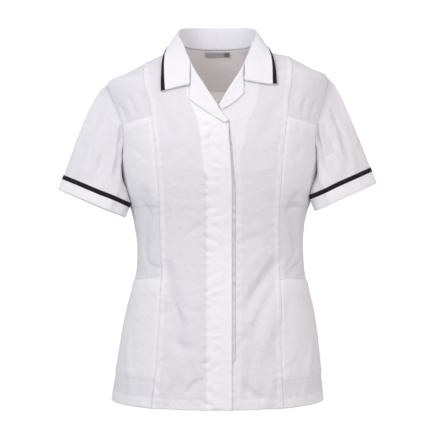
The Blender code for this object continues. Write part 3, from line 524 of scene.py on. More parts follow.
def pucker(along, off, name):
    """Pinches across a row of stitches, narrow and a little slanted, fading on both sides."""
    *lengths, start = PUCKERS[name]
    pitch, depth, reach = mm(*lengths)
    wander, strength, slant = (np.sin(2 * math.pi * along / (share * pitch) + lag * start)
                               for share, lag in ((3.7, 1), (5.3, 2), (7.1, 3)))
    phase = math.pi * (along + 0.5 * slant * off) / pitch + 0.65 * wander + start / 2
    wave = 1 - 2 * (1 - np.abs(np.sin(phase))) ** 1.5
    return depth * (0.65 + 0.35 * strength) * wave * bell(off / reach)


def normals(turn, height, surface):
    """Outward direction of a surface given by turn and height."""
    step = 2e-4
    across = surface(turn + step, height) - surface(turn - step, height)
    up = surface(turn, height + step) - surface(turn, height - step)
    return unit(np.cross(across, up))


def body(turn, height):
    """Point of the body's outer face with its large folds."""
    rise = body_rise(turn, height)
    return bare_body(turn, height) + normals(turn, height, bare_body) * rise[..., None]


def body_face(turn, height, out=0.0):
    """Points of the body's outer face, moved out along the cloth's own direction."""
    out = np.broadcast_to(np.asarray(out, float), np.shape(turn))
    return body(turn, height) + normals(turn, height, body) * out[..., None]


def front_point(out, height, lift=0.0):
    """Point in front of the chest at this distance from the middle plane."""
    height = height + 0 * out
    return body_face(turn_at(out, height), height, lift)


def hang(points):
    """Lean of the whole tunic, as it hangs a little off true."""
    out, height = np.abs(points[..., 0]), points[..., 2]
    moved = points.copy()
    weight = soft_step(out, *ASIDE_FROM) * soft_end(out, *ASIDE_TO)
    moved[..., 0] += curve(HANG_ASIDE, "shift", height) * weight
    moved[..., 2] += curve(SHOULDER_RISE, "rise", points[..., 0]) * soft_step(height, *RISE_FADE)
    return moved


# Meshes

def add_object(name, data):
    piece = bpy.data.objects.new(name, data)
    bpy.context.scene.collection.objects.link(piece)
    return piece


def wall(name, outer, inner, cut, material, ring=False, layers_and_shade=0.0, inner_face_material=None):
    """Closed cloth wall between two grids of points, with its UV map in metres.

    The per-point attribute says how far the cloth is backed by more cloth, and on the collar stand it also
    carries painted shade.
    A second material, where given, covers the inner face; on the back panel it carries painted warm light.
    """
    rows, columns = outer.shape[:2]
    count = rows * columns
    spans = columns if ring else columns - 1
    row, column = np.meshgrid(np.arange(rows - 1), np.arange(spans), indexing="ij")
    a = (row * columns + column).ravel()
    b = (row * columns + (column + 1) % columns).ravel()
    faces = [np.stack([a, b, b + columns, a + columns], 1),
             np.stack([a, a + columns, b + columns, b], 1) + count]
    a, b = np.arange(spans), np.arange(1, spans + 1) % columns
    top = (rows - 1) * columns
    edges = [(b, a), (top + a, top + b)]
    if not ring:
        a = np.arange(rows - 1) * columns
        edges += [(a, a + columns), (a + 2 * columns - 1, a + columns - 1)]
    faces += [np.stack([start, end, end + count, start + count], 1) for start, end in edges]
    faces = np.concatenate(faces)
    points = hang(np.concatenate([outer.reshape(-1, 3), inner.reshape(-1, 3)]))
    mesh = bpy.data.meshes.new(name)
    mesh.from_pydata(points.tolist(), [], faces.tolist())
    corners = np.empty(len(mesh.loops), dtype=np.int32)
    mesh.loops.foreach_get("vertex_index", corners)
    places = np.concatenate([cut.reshape(-1, 2)] * 2)[corners].reshape(-1, 4, 2)
    if ring:
        wide = cut[:, :, 0].max()
        across = places[:, :, 0]
        joint = np.ptp(across, axis=1) > 0.5 * wide
        across[joint] += np.where(across[joint] < 0.5 * wide, wide * (1 + 1 / columns), 0)
    mesh.uv_layers.new(name="cut").data.foreach_set("uv", places.astype(np.float32).ravel())
    backed = np.broadcast_to(np.asarray(layers_and_shade, np.float32), (rows, columns)).ravel()
    held = mesh.attributes.new("layers_and_shade", "FLOAT", "POINT")
    held.data.foreach_set("value", np.concatenate([backed, backed]))
    mesh.update()
    mesh.shade_smooth()
    mesh.materials.append(material)
    if inner_face_material:
        mesh.materials.append(inner_face_material)
        slots = np.zeros(len(faces), dtype=np.int32)
        slots[row.size:2 * row.size] = 1
        mesh.polygons.foreach_set("material_index", slots)
    return add_object(name, mesh)


def steps(count, gather=GATHER):
    """Shares from 0 to 1, a little closer together at both ends."""
    t = np.linspace(0, 1, count + 1)
    return (1 - gather) * t + gather * (1 - np.cos(math.pi * t)) / 2


def between(first, last, shares):
    """Grid of turns and heights between two lines."""
    return tuple(a[:, None] + shares[None, :] * (b - a)[:, None] for a, b in zip(first, last))


def runs(points, axis):
    """Distance along rows or columns of a grid of points."""
    length = np.linalg.norm(np.diff(points, axis=axis), axis=-1)
    start = np.zeros_like(np.take(length, [0], axis))
    return np.concatenate([start, np.cumsum(length, axis=axis)], axis=axis)


def cut_places(width, pitch):
    """Places of a grid in its flat cut: widths across, and rows at an even pitch."""
    return np.stack([width, np.repeat(np.arange(len(width))[:, None] * pitch, width.shape[1], 1)], axis=-1)


def at_level(field, wanted, *grids):
    """Values of grids where the field has the wanted values, for each row that reaches them."""
    found = []
    for row, level in enumerate(field):
        order = np.argsort(level)
        if level[order[0]] <= np.min(wanted) and np.max(wanted) <= level[order[-1]]:
            found.append([np.interp(wanted, level[order], grid[row][order]) for grid in grids])
    return np.array(found)


def points_at(points, field, wanted):
    return at_level(field, wanted, *np.moveaxis(points, -1, 0))


def row_places(first, last):
    """Places between two rows of the body's tables, with the finer rows between them."""
    return np.linspace(first, last, (last - first) * ROW_STEPS + 1)


ALL_ROWS = row_places(0, LAST_ROW)


def heights_of(line, places):
    return np.interp(places, np.arange(len(BODY_ROWS[line])), BODY_ROWS[line])


def body_line(side, heights, out, back=False):
    """Line up the body at these distances from the middle. At the top it reaches the shoulder."""
    turn = turn_at(out, heights, back)
    if side:
        turn[-1] = side * SIDE
    return turn, heights


def side_line(side, places, back=False):
    """Side seam, then the front or back of the armhole up to the shoulder."""
    heights = heights_of("side", places)
    out = side * curve(ARMHOLE, "back_out" if back else "front_out", heights)
    turn, heights = body_line(side, heights, out, back)
    turn[heights <= ARMHOLE["height"][-1]] = side * SIDE
    return turn, heights


class Panel:
    """Fine grid on the body, with the distances from its edges."""

    def __init__(self, turn, height):
        self.turn, self.height = turn, height
        flat = bare_body(turn, height)
        self.out = flat[..., 0]
        self.cut = np.stack([self.along, height], axis=-1)
        self.from_first, self.from_bottom = runs(flat, 1), runs(flat, 0)
        self.from_last = self.from_first[:, -1:] - self.from_first
        self.from_top = self.from_bottom[-1:] - self.from_bottom

    @property
    def along(self):
        return self.turn * FOLD_RADIUS

    def part(self, rows, columns=slice(None)):
        return Panel(self.turn[rows, columns], self.height[rows, columns])

    def flat_lift(self, lift):
        return np.full(self.turn.shape, lift)

    def face(self, lift):
        return body_face(self.turn, self.height, lift + crease_rise(self.turn, self.height))

    def make(self, name, lift, material, thickness=CLOTH, flipped=False, layers_and_shade=0.0, inner_face_material=None):
        """Wall whose outer face has this lift."""
        self.lift = lift
        layers_and_shade = np.broadcast_to(np.asarray(layers_and_shade, float), lift.shape)
        grids = (self.face(lift), self.face(lift - thickness), self.cut, layers_and_shade)
        outer, inner, cut, layers_and_shade = (grid[:, ::-1] if flipped else grid for grid in grids)
        return wall(name, outer, inner, cut, material, layers_and_shade=layers_and_shade, inner_face_material=inner_face_material)

    def stitch_line(self, distance, wanted, first=0, last=None, across=False):
        """Stitches at this distance from an edge that runs up the panel, or across it."""
        grids = (distance, self.turn, self.height, self.lift)
        field, *grids = ((grid.T if across else grid)[first:last] for grid in grids)
        turn, height, lift = at_level(field, wanted, *grids).T
        return hang(body_face(turn, height, lift + crease_rise(turn, height)))


# Materials

def linear(colour):
    """Hex sRGB colour as linear red, green, blue and alpha."""
    parts = [int(colour[i:i + 2], 16) / 255 for i in (1, 3, 5)]
    return [p / 12.92 if p <= 0.04045 else ((p + 0.055) / 1.055) ** 2.4 for p in parts] + [1]


def add_node(tree, kind, inputs=None, **settings):
    """Add a node, set its properties, and fill its inputs or link them to sockets or other nodes."""
    node = tree.nodes.new(kind)
    for name, value in settings.items():
        setattr(node, name, value)
    for key, value in (inputs or {}).items():
        if isinstance(value, bpy.types.Node):
            value = value.outputs[0]
        if isinstance(value, bpy.types.NodeSocket):
            tree.links.new(value, node.inputs[key])
        else:
            node.inputs[key].default_value = value
    return node


def empty_tree(owner):
    owner.use_nodes = True
    owner.node_tree.nodes.clear()
    return owner.node_tree


def cloth_material(name, backed, single, twill, weave, roughness, sheen, soft, glow=0.0):
    """Woven cloth: threads from its UV map, lighter where more cloth backs it. The same mix paints shade on
    the collar stand.
    """
    material = bpy.data.materials.new(name)
    tree = empty_tree(material)
    place = add_node(tree, "ShaderNodeUVMap", uv_map="cut")
    spot = add_node(tree, "ShaderNodeTexCoord")
    threads = add_node(tree, "ShaderNodeTexWave",
                       {"Vector": place, "Scale": 0.628 / twill, "Distortion": 0.6,
                        "Detail": 1.0, "Detail Scale": 2.0},
                       wave_type="BANDS", bands_direction="DIAGONAL", wave_profile="SIN")
    blotches = add_node(tree, "ShaderNodeTexNoise",
                        {"Vector": spot.outputs["Object"], "Scale": 14.0, "Detail": 4.0, "Roughness": 0.55})
    rumples = add_node(tree, "ShaderNodeTexNoise",
                       {"Vector": spot.outputs["Object"], "Scale": 42.0, "Detail": 3.0, "Roughness": 0.5,
                        "Distortion": 0.4})
    layers_and_shade = add_node(tree, "ShaderNodeAttribute", attribute_name="layers_and_shade")
    uneven = add_node(tree, "ShaderNodeMath",
                      {0: blotches, 1: 0.36, 2: layers_and_shade.outputs["Fac"]},
                      operation="MULTIPLY_ADD")
    shade = add_node(tree, "ShaderNodeMath", {0: uneven, 1: 0.18}, operation="SUBTRACT",
                     use_clamp=True)
    colour = add_node(tree, "ShaderNodeMix",
                      {"Factor": shade, "A": linear(single), "B": linear(backed)},
                      data_type="RGBA")
    thread_colour = add_node(tree, "ShaderNodeMix",
                             {"Factor": threads.outputs["Fac"], "A": (0.93, 0.93, 0.93, 1),
                              "B": (1, 1, 1, 1)}, data_type="RGBA")
    woven = add_node(tree, "ShaderNodeMix",
                     {"Factor": weave, "A": colour.outputs["Result"], "B": thread_colour.outputs["Result"]},
                     data_type="RGBA", blend_type="MULTIPLY")
    rumpled = add_node(tree, "ShaderNodeBump",
                      {"Height": rumples, "Strength": 1.0, "Distance": soft})
    grain = add_node(tree, "ShaderNodeBump",
                     {"Height": threads.outputs["Fac"], "Strength": 0.5, "Distance": 0.00006,
                      "Normal": rumpled})
    shader = add_node(tree, "ShaderNodeBsdfPrincipled",
                      {"Base Color": woven.outputs["Result"], "Normal": grain,
                       "Roughness": roughness, "Sheen Weight": sheen, "Sheen Roughness": 0.5,
                       "Specular IOR Level": 0.25})
    if glow:
        through = add_node(tree, "ShaderNodeBsdfTranslucent", {"Color": woven.outputs["Result"]})
        shader = add_node(tree, "ShaderNodeMixShader",
                          {0: glow, 1: shader, 2: through})
    add_node(tree, "ShaderNodeOutputMaterial", {"Surface": shader})
    return material


# Polyester-cotton twill, woven and washed: matt white with a cool cast and soft rumpling. One layer is
# a little greyer, as light goes through it. Its real rib is 0.4 mm, drawn at 1.2 mm.
WHITE_TWILL = cloth_material("white_polycotton_twill", "#FDFCFF", "#EDECF1", 0.0012, 0.35, 0.88, 0.15,
                             soft=0.0034, glow=0.18)
# The same cloth seen from inside: its warm tint is painted light, for the warm light that has come through
# it
INSIDE_TWILL = cloth_material("white_polycotton_inside", "#FAF5F1", "#F8F2EE", 0.0012, 0.35, 0.9, 0.1,
                              soft=0.0016, glow=0.18)
# The neck facing: a second layer of the same white cloth, which looks a little darker than the back below
# it. Its darker warm grey colour is painted shade.
SHADED_NECK_FACING = cloth_material("white_polycotton_neck_facing", "#DCD7D5", "#D4CFCC", 0.0012, 0.35, 0.9, 0.1,
                             soft=0.0012, glow=0.10)
# The same cloth fused to interlining in collar, lapels and facings: whiter and denser. Its darker single
# colour is painted shade where the collar stand takes it.
WHITE_FACING = cloth_material("white_polycotton_facing", "#F1F0F5", "#E2E1E8", 0.0012, 0.35, 0.88, 0.12,
                              soft=0.0008, glow=0.06)
# Navy polyester twill binding: deep blue-black, matt, with a bias rib
NAVY_TAPE = cloth_material("navy_twill_tape", "#181722", "#12111B", 0.0011, 0.9, 0.85, 0.03, soft=0.0004)
# Woven polyester zip tape with ribs, grey-white in the shade of the placket
ZIP_TAPE = cloth_material("woven_zip_tape", "#EAE9EE", "#DDDCE1", 0.0010, 0.5, 0.75, 0.05, soft=0.0002)
# Woven satin label and its size tab, plain grey
GREY_LABEL = cloth_material("grey_satin_label", "#A9A8AB", "#97969A", 0.0008, 0.6, 0.55, 0.1, soft=0.0002)
DARK_LABEL = cloth_material("dark_satin_label", "#77767A", "#69686D", 0.0008, 0.6, 0.55, 0.1, soft=0.0002)


def thread_material(name, light, dark):
    """Spun polyester sewing thread with a faint shine: fibres lighter and darker by turns."""
    material = bpy.data.materials.new(name)
    tree = empty_tree(material)
    spot = add_node(tree, "ShaderNodeTexCoord")
    fibres = add_node(tree, "ShaderNodeTexNoise",
                      {"Vector": spot.outputs["Object"], "Scale": 900.0, "Detail": 2.0})
    colour = add_node(tree, "ShaderNodeMix",
                      {"Factor": fibres, "A": linear(light), "B": linear(dark)},
                      data_type="RGBA")
    shader = add_node(tree, "ShaderNodeBsdfPrincipled",
                      {"Base Color": colour.outputs["Result"], "Roughness": 0.6})
    add_node(tree, "ShaderNodeOutputMaterial", {"Surface": shader})
    return material


WHITE_THREAD = thread_material("white_sewing_thread", "#F6F5FA", "#DDDCE3")
NAVY_THREAD = thread_material("navy_sewing_thread", "#34333F", "#24232C")


# Pieces of the body

def hem_relief(panel):
    """Groove and pinches at the hem's stitches, and the softer double cloth below them."""
    off = panel.from_bottom - HEM_DEPTH
    double = HEM_SWELL * soft_end(off, -0.001, 0.001)
    return relief(off, "hem_groove") + pucker(panel.along, off, "hem") + double


def hem_layers(panel):
    return 0.5 * soft_end(panel.from_bottom, HEM_DEPTH - 0.001, HEM_DEPTH + 0.001)


def seam_relief(panel, word):
    """Raised band of pressed seam allowances at the princess seam, with its stitches and pinches."""
    off = panel.from_last
    band = soft_end(off, BAND_WIDTH, BAND_WIDTH + 0.0025) * (0.5 + 0.5 * soft_step(off, 0, 0.003))
    pinches = pucker(panel.height, off - 0.007, f"princess_{word}")
    return BAND_RISE * band + relief(off - BAND_WIDTH, "princess_groove") + pinches


def facing_relief(panel, word):
    """Ridge where the edge of the facing shows through."""
    table = FACING_LINES[word]
    inside = (panel.height > min(table["height"])) & (panel.height < max(table["height"]))
    return np.where(inside, relief(panel.out - curve(table, "out", panel.height), "facing_edge"), 0)


def front_layers(panel, word):
    """Where facing, placket, seam allowances and hem back the cloth of a front."""
    table, out, height = FACING_LINES[word], panel.out, panel.height
    low = min(table["height"])
    facing = soft_step((curve(table, "out", height) - out) * SIDES[word], -0.0025, 0.0025)
    if word == "right":
        scallop = 0.0016 * np.abs(np.sin(math.pi * height / 0.019 + 0.2))
        stitched = soft_step(out + scallop, PLACKET_STITCH - 0.001, PLACKET_STITCH + 0.003)
    else:
        stitched = soft_end(out, 0.0410, 0.0480)
    above = soft_step(height, low - 0.010, low + 0.020)
    front = (facing * above + stitched * (1 - above)) * (0.95 if word == "right" else 0.4)
    uneven = 0.8 + 0.2 * np.sin(height / 0.007 + 2.2 * np.sin(height / 0.031))
    band = 0.5 * uneven * soft_end(panel.from_last, BAND_WIDTH - 0.001, BAND_WIDTH + 0.003)
    return np.maximum(np.maximum(front, band), hem_layers(panel))


def placket_relief(panel):
    """The right front: its placket's stitches with their pinches, its edge and the fold of the lapel."""
    off, below_lapel = panel.out - PLACKET_STITCH, panel.height < LAPEL_FOOT["right"]
    lift = (relief(off, "placket_groove") + pucker(panel.height, off, "placket")
            + pucker(panel.height, off - PLACKET_INSIDE, "placket_inside")
            + 0.0004 * soft_step(off, 0.0, 0.004) + relief(panel.from_first, "placket_swell"))
    return lift * below_lapel + relief(panel.from_first, "placket_edge")


def zip_edge_relief(panel):
    """The left front: it dips under the lapel and the placket, and its edge is stitched to the zip."""
    off, along = panel.from_first, panel.height
    cover = soft_step(curve(FRONT_EDGE["right"], "out", along) + 0.0015 - panel.out, -0.0015, 0.0010)
    lift = -0.0022 * cover * (along < BEHIND_LAPEL[1]) * (along > BEHIND_LAPEL[0])
    lift -= 0.0018 * soft_end(panel.out, 0.0285, 0.0335) * (along < GAP_FOOT)
    sewn = pucker(along, off - 0.0030, "zip_edge") + relief(off - ZIP_STITCH, "zip_groove")
    return lift + sewn * (along < LAPEL_FOOT["left"]) + relief(off, "zip_edge")


def make_front(word):
    """Centre and side panels of one front, split by the princess seam."""
    side = SIDES[word]
    heights = heights_of("front_edge", ALL_ROWS)
    edge = body_line(side, heights, curve(FRONT_EDGE[word], "out", heights))
    heights = heights_of("princess", ALL_ROWS)
    princess = body_line(side, heights, side * curve(PRINCESS_SEAM, "out", heights))
    centre = Panel(*between(edge, princess, steps(CENTRE_COLUMNS)))
    lift = seam_relief(centre, word) + hem_relief(centre) + facing_relief(centre, word)
    lift += placket_relief(centre) if word == "right" else zip_edge_relief(centre)
    piece = centre.make(f"{word}_front_centre", lift, WHITE_TWILL, flipped=side < 0,
                        layers_and_shade=front_layers(centre, word))
    panel = Panel(*between(princess, side_line(side, ALL_ROWS), steps(SIDE_COLUMNS)))
    lift = hem_relief(panel)
    for off, name in ((panel.from_first, "side_panel_first"), (panel.from_last, "side_panel_last")):
        lift += relief(off, name) + pucker(panel.height, off, name)
    other = panel.make(f"{word}_front_side", lift, WHITE_TWILL, flipped=side < 0, layers_and_shade=hem_layers(panel))
    return centre, panel, piece, other


def make_fly():
    """Inner layer of the fly, behind the right front from its stitches to its edge."""
    heights = heights_of("front_edge", row_places(*FLY_ROWS))
    edge = body_line(0, heights, curve(FRONT_EDGE["right"], "out", heights) - 0.0008)
    stitched = body_line(0, heights, np.full(len(heights), PLACKET_STITCH))
    panel = Panel(*between(edge, stitched, steps(FLY_COLUMNS)))
    return panel.make("fly_inner_layer", panel.flat_lift(-CLOTH - FLY_SUNK), WHITE_FACING,
                      thickness=THIN_LAYER, flipped=True)


def make_zip():
    """Zip tape in the gap beside the placket, with its ribs."""
    heights = heights_of("front_edge", row_places(*ZIP_ROWS))
    inner = body_line(0, heights, np.full(len(heights), ZIP_INNER))
    outer = body_line(0, heights, curve(FRONT_EDGE["left"], "out", heights) + ZIP_UNDER_LEFT)
    panel = Panel(*between(inner, outer, steps(ZIP_COLUMNS)))
    lift = panel.flat_lift(-CLOTH - ZIP_SUNK) + 0.00025 * np.cos(2 * math.pi * panel.from_first / 0.0022)
    lift += 0.0007 * np.sin(panel.height / 0.0031 + 1.5 * np.sin(panel.height / 0.017))
    return panel.make("zip_tape_strip", lift, ZIP_TAPE, thickness=TAPE)


def make_pocket(place, word, side_panel):
    """Patch pocket over the side panel, from the princess seam to the armhole or side seam."""
    first_row, last_row = POCKET_ROWS[place]
    pocket = side_panel.part(slice(first_row * ROW_STEPS, last_row * ROW_STEPS + 1))
    if place == "upper":
        share = (1 - POCKET_GAP / pocket.from_first[:, -1])[:, None]
        pocket.turn = pocket.turn[:, :1] + (pocket.turn - pocket.turn[:, :1]) * share
        pocket.from_first = pocket.from_first * share
        pocket.from_last = pocket.from_first[:, -1:] - pocket.from_first
    off = pocket.from_top - POCKET_HEM[place]
    lift = pocket.flat_lift(POCKET_LIFT)
    lift -= POCKET_SUNK[place] * soft_end(pocket.from_bottom, 0.0, POCKET_FOOT)
    lift += relief(pocket.from_first, "pocket_first") + relief(pocket.from_last, "pocket_last")
    lift += HEM_SWELL * soft_end(off, -0.0012, 0.0006) + relief(off, "pocket_groove")
    lift -= 0.0004 * soft_end(pocket.from_top, 0, 0.0012)
    lift += pucker(pocket.along, off, "pocket_hem")
    lift += pucker(pocket.height, pocket.from_last, "pocket_side")
    lift += pucker(pocket.along, pocket.from_bottom - POCKET_FOOT, f"{place}_pocket_foot")
    mouth = 0.0014 * np.sin(math.pi * pocket.from_first / pocket.from_first[:, -1:])
    lift += mouth * soft_end(pocket.from_top, 0.0, 0.045)
    edges = np.minimum(pocket.from_bottom, pocket.from_first)
    turned = np.maximum(soft_end(off, -0.001, 0.001), soft_end(edges, 0.005, 0.009))
    backed = POCKET_BACKED[place] + 0.25 * turned
    if place == "upper":
        backed = backed * soft_step(pocket.from_bottom, 0.0, 0.05)
    piece = pocket.make(f"{place}_pocket_{word[0]}", lift, WHITE_TWILL, flipped=word == "right",
                        layers_and_shade=backed)
    return pocket, piece


def make_back():
    """Back panel in one piece, with an evenly spaced middle."""
    heights = heights_of("back", ALL_ROWS)
    lines = []
    for side, whole_turn in ((1, 0), (-1, 2 * BACK)):
        line = body_line(side, heights, side * curve(BACK_LINE, "out", heights), True)
        pair = [(turn + whole_turn, height) for turn, height in (side_line(side, ALL_ROWS, True), line)]
        lines += pair[::side]
    parts = [between(*lines[i:i + 2], steps(count, (GATHER, 0, GATHER)[i]))
             for i, count in enumerate(BACK_COLUMNS)]
    turn, height = (np.concatenate([grids[0], *(grid[:, 1:] for grid in grids[1:])], axis=1)
                    for grids in zip(*parts))
    panel = Panel(turn, height)
    seam = np.minimum(panel.from_first, panel.from_last)
    lift = hem_relief(panel) + relief(seam, "back_seam") + pucker(panel.height, seam, "back_seam")
    # The inner face's warm tint is painted light.
    return panel, panel.make("back_panel", lift, WHITE_TWILL, inner_face_material=INSIDE_TWILL)


def make_neck_facing(back):
    """Facing inside the back of the neck, its lower edge turned and stitched."""
    middle = slice(BACK_COLUMNS[0], BACK_COLUMNS[0] + BACK_COLUMNS[1] + 1)
    facing = back.part(slice(FACING_ROW * ROW_STEPS, LAST_ROW * ROW_STEPS + 1), middle)
    lift = -CLOTH - FACING_SUNK - 0.0004 * soft_end(facing.from_bottom, 0, 0.002)
    lift += relief(facing.from_bottom - 0.006, "neck_facing_groove")
    # The facing's darker warm grey is painted shade.
    return facing.make("back_neck_facing_cloth", lift, SHADED_NECK_FACING, thickness=THIN_LAYER, layers_and_shade=1.0)


def smooth_directions(ways, turns=3):
    """Even out directions over a grid."""
    for _ in range(turns):
        padded = np.pad(ways, ((1, 1), (1, 1), (0, 0)), mode="edge")
        ways = unit(padded[1:-1, 1:-1] * 2 + padded[:-2, 1:-1] + padded[2:, 1:-1] + padded[1:-1, :-2]
                    + padded[1:-1, 2:])
    return ways


def square_to(ways, others):
    """Directions made square to others."""
    return unit(ways - (ways * others).sum(-1, keepdims=True) * others)


def make_lapel(word):
    """Lapel rolled out at its fold and turned back on the chest, and its row of stitches."""
    side = SIDES[word]
    table = LAPELS[word]
    knots = {"height": np.arange(len(table["fold_out"])), **table}
    at = np.linspace(0, len(table["fold_out"]) - 1, LAPEL_ROWS)
    lines = []
    for key in ("out", "height"):
        fold, edge = curve(knots, f"fold_{key}", at), np.interp(at, knots["height"], table[f"edge_{key}"])
        lines.append(fold[:, None] + steps(LAPEL_COLUMNS) * (edge - fold)[:, None])
    out, height = lines
    turn = turn_at(out, height)
    across = runs(bare_body(turn, height), 1)
    to_edge = across[:, -1:] - across
    radius = LAPEL_ROLL + 0.0012 * soft_step(height[:, :1], -0.15, -0.06)
    lift = LAPEL_LIFT + CLOTH + radius * 1.1 * bell(across / 0.014) + relief(to_edge, "lapel_edge")
    lift += relief(to_edge - 0.0045, "lapel_swell") + relief(to_edge - LAPEL_GROOVE, "lapel_groove")
    lift += pucker(LAPEL_PITCH * np.arange(1, LAPEL_ROWS + 1)[:, None], to_edge - LAPEL_GROOVE, "lapel")
    top = body_face(turn, height, lift)
    base, beside = (body_face(turn[:, i:i + 1], height[:, i:i + 1]) for i in (0, 2))
    normal = normals(turn[:, :1], height[:, :1], bare_body)
    away = square_to(unit(base - beside), normal)
    angles = np.radians(np.arange(-90, 61, 25))
    high, low = lift[:, :1], -CLOTH - 0.0006
    middle, reach = (high + low) / 2, (high - low) / 2
    arc = (base + normal * (middle + reach * np.sin(angles))[..., None]
           + away * (reach * np.cos(angles) * 1.1)[..., None])
    inside = base + normal * low - away * np.linspace(LAPEL_FACING, 0.001, 5)[None, :, None]
    grid = np.concatenate([inside, arc, top], axis=1)
    cut = cut_places(runs(grid, 1), LAPEL_STEP) + (0, LAPEL_STEP)
    ways = unit(np.cross(np.gradient(grid, axis=1), np.gradient(grid, axis=0))) * -side
    inner = grid - smooth_directions(ways) * CLOTH
    grid, inner, cut = (points[::-side] for points in (grid, inner, cut))
    piece = wall(f"{word}_lapel", grid, inner, cut, WHITE_FACING, layers_and_shade=1.0)
    return piece, hang(points_at(top, to_edge, LAPEL_STITCH))


# Collar

def smooth_rows(points):
    """Even curve through points, with COLLAR_TURNS steps between each two."""
    padded = np.concatenate([2 * points[:1] - points[1:2], points, 2 * points[-1:] - points[-2:-1]])
    result = []
    for cell in range(len(points) - 1):
        a, b, c, d = padded[cell:cell + 4]
        for t in np.arange(COLLAR_TURNS) / COLLAR_TURNS:
            result.append(0.5 * (2 * b + (c - a) * t + (2 * a - 5 * b + 4 * c - d) * t ** 2
                                 + (3 * b - a - 3 * c + d) * t ** 3))
    return np.array(result + [points[-1]])


def collar_lines(word):
    """Seam, roll and edge of the collar on one side, from the centre back to the gorge, and the notch."""
    side = SIDES[word]
    turn = side * np.radians(COLLAR_BACK["seam_turn"])
    inset = 1 - CLOTH / COLLAR_BACK["roll"][-1][0]
    behind = body(turn, 0 * turn) * (inset, inset, 1) + (0, 0, 0.0008)
    front, edge = COLLAR_FRONT, COLLAR_EDGE[word]
    seam = front_point(side * front["seam_out"], front["seam_height"], -CLOTH)
    roll = np.stack([side * front["roll_out"], seam[:, 1] + front["roll_lean"], front["roll_height"]],
                    axis=1)
    outer = front_point(side * edge["out"], edge["height"], COLLAR_LIFT["edge"])
    notch = front_point(side * COLLAR_NOTCH[word][:1], COLLAR_NOTCH[word][1], COLLAR_LIFT["notch"])[0]
    mirror = (side, 1, 1)
    lines = ((behind, seam), (COLLAR_BACK["roll"] * mirror, roll), (COLLAR_BACK["edge"] * mirror, outer))
    return [smooth_rows(np.concatenate(line)) for line in lines], notch


def gorge_row(row, notch):
    """Last row of the collar: down the gorge seam to the notch, then along the lower edge."""
    roll, tip = row[0], row[-1]
    tape_inner = tip + unit(notch - tip) * COLLAR_TAPE_WIDTH
    return np.array([roll, roll + 0.5 * (notch - roll), notch, notch + 0.45 * (tape_inner - notch),
                     tape_inner, tip])


def make_collar():
    """Collar in one piece: up the stand, over the roll, down the fall to its edge."""
    halves = []
    for word in SIDES:
        (seam, roll, edge), notch = collar_lines(word)
        edge_run = unit(np.gradient(edge, axis=0))
        fall_length = np.linalg.norm(np.cross(edge_run, edge - roll), axis=1)
        coarse = np.array([[*FALL_STEPS, start, 1] for start in 1 - COLLAR_TAPE_WIDTH / fall_length])
        fall = roll[:, None] + coarse[..., None] * (edge - roll)[:, None]
        shift = gorge_row(fall[-1], notch) - fall[-1]
        reach = COLLAR_TURNS * 2
        for back in range(reach):
            fall[-1 - back] += (1 - back / reach) ** 2 * shift
        knots = np.arange(coarse.shape[1])
        at = np.linspace(0, knots[-1], FALL_COLUMNS + 1)
        fine = np.stack([[np.interp(at, knots, row[:, k]) for row in fall] for k in range(3)], axis=-1)
        halves.append((seam, clear_of_body(fine, COLLAR_CLEARANCE)))
    seam, fall = (np.concatenate([right[::-1], left[1:]]) for right, left in zip(*halves))
    roll = fall[:, 0]
    down, into = unit(fall[:, 1] - roll), unit(seam - roll)
    stand_length = np.linalg.norm(seam - roll, axis=1)
    reach = np.minimum(ROLL_REACH, 0.45 * stand_length)[:, None]
    stand_top, fall_top = roll + into * reach, roll + down * reach
    shares = np.linspace(0, 1, STAND_COLUMNS + 1)
    bow = 0.0012 * np.sin(math.pi * shares)[:, None] * (stand_length / 0.04)[:, None, None]
    stand = seam[:, None] + shares[:, None] * (stand_top - seam)[:, None]
    stand = stand + square_to(unit(fall[:, 4] - seam), into)[:, None] * bow
    t = np.linspace(0, 1, ROLL_COLUMNS + 2)[1:-1, None]
    arc = (1 - t) ** 2 * stand_top[:, None] + 2 * t * (1 - t) * roll[:, None] + t ** 2 * fall_top[:, None]
    start = np.argmax(runs(fall, 1) > reach + 1e-4, axis=1).max()
    keep = fall[:, start:]
    shares = np.linspace(0, 1, LEAD_COLUMNS)[:-1, None]
    lead = fall_top[:, None] + shares * (keep[:, :1] - fall_top[:, None])
    fall_run = np.concatenate([lead, keep], axis=1)
    sheet = np.concatenate([stand, arc, fall_run], axis=1)
    ways = smooth_directions(unit(np.cross(np.gradient(sheet, axis=0), np.gradient(sheet, axis=1))), 2)
    width = runs(sheet, 1)
    to_edge = width[:, -1:] - width
    swell_at = runs(fall_run, 1)
    first = sheet.shape[1] - fall_run.shape[1]
    lift = np.zeros(sheet.shape[:2])
    lift[:, first:] = 0.0022 * np.sin(math.pi * (swell_at / swell_at[:, -1:]) ** 0.8)
    round_neck = np.linspace(-1, 1, len(sheet))[:, None]
    lift += 0.0004 * np.sin(7 * round_neck + 3 * to_edge / 0.05) * (to_edge < 0.05)
    lift += relief(to_edge - COLLAR_GROOVE, "collar_groove") + relief(to_edge, "collar_edge")
    along = np.arange(len(sheet))[:, None] * COLLAR_PITCH
    lift += pucker(along, to_edge - COLLAR_GROOVE, "collar_edge")
    lift += pucker(along, width - 0.010, "collar_seam") + pucker(along, width - 0.026, "collar_stand")
    half = COLLAR_CLOTH / 2
    outer, inner = (sheet + ways * (lift + out)[..., None] for out in (half, -half))
    # Painted shade on the stand: it takes the darker single colour, rising to the lighter backed colour on
    # the fall
    stand_shade_ramp = np.linspace(0, 1, first + 1)[np.minimum(np.arange(sheet.shape[1]), first)] ** 2
    piece = wall("revere_collar", outer[:, ::-1], inner[:, ::-1], cut_places(width, COLLAR_STEP)[:, ::-1],
                 WHITE_FACING, layers_and_shade=stand_shade_ramp[::-1])
    tape = make_collar_tape(outer, inner, to_edge, ways)
    return piece, tape, hang(points_at(outer, to_edge, COLLAR_STITCH))


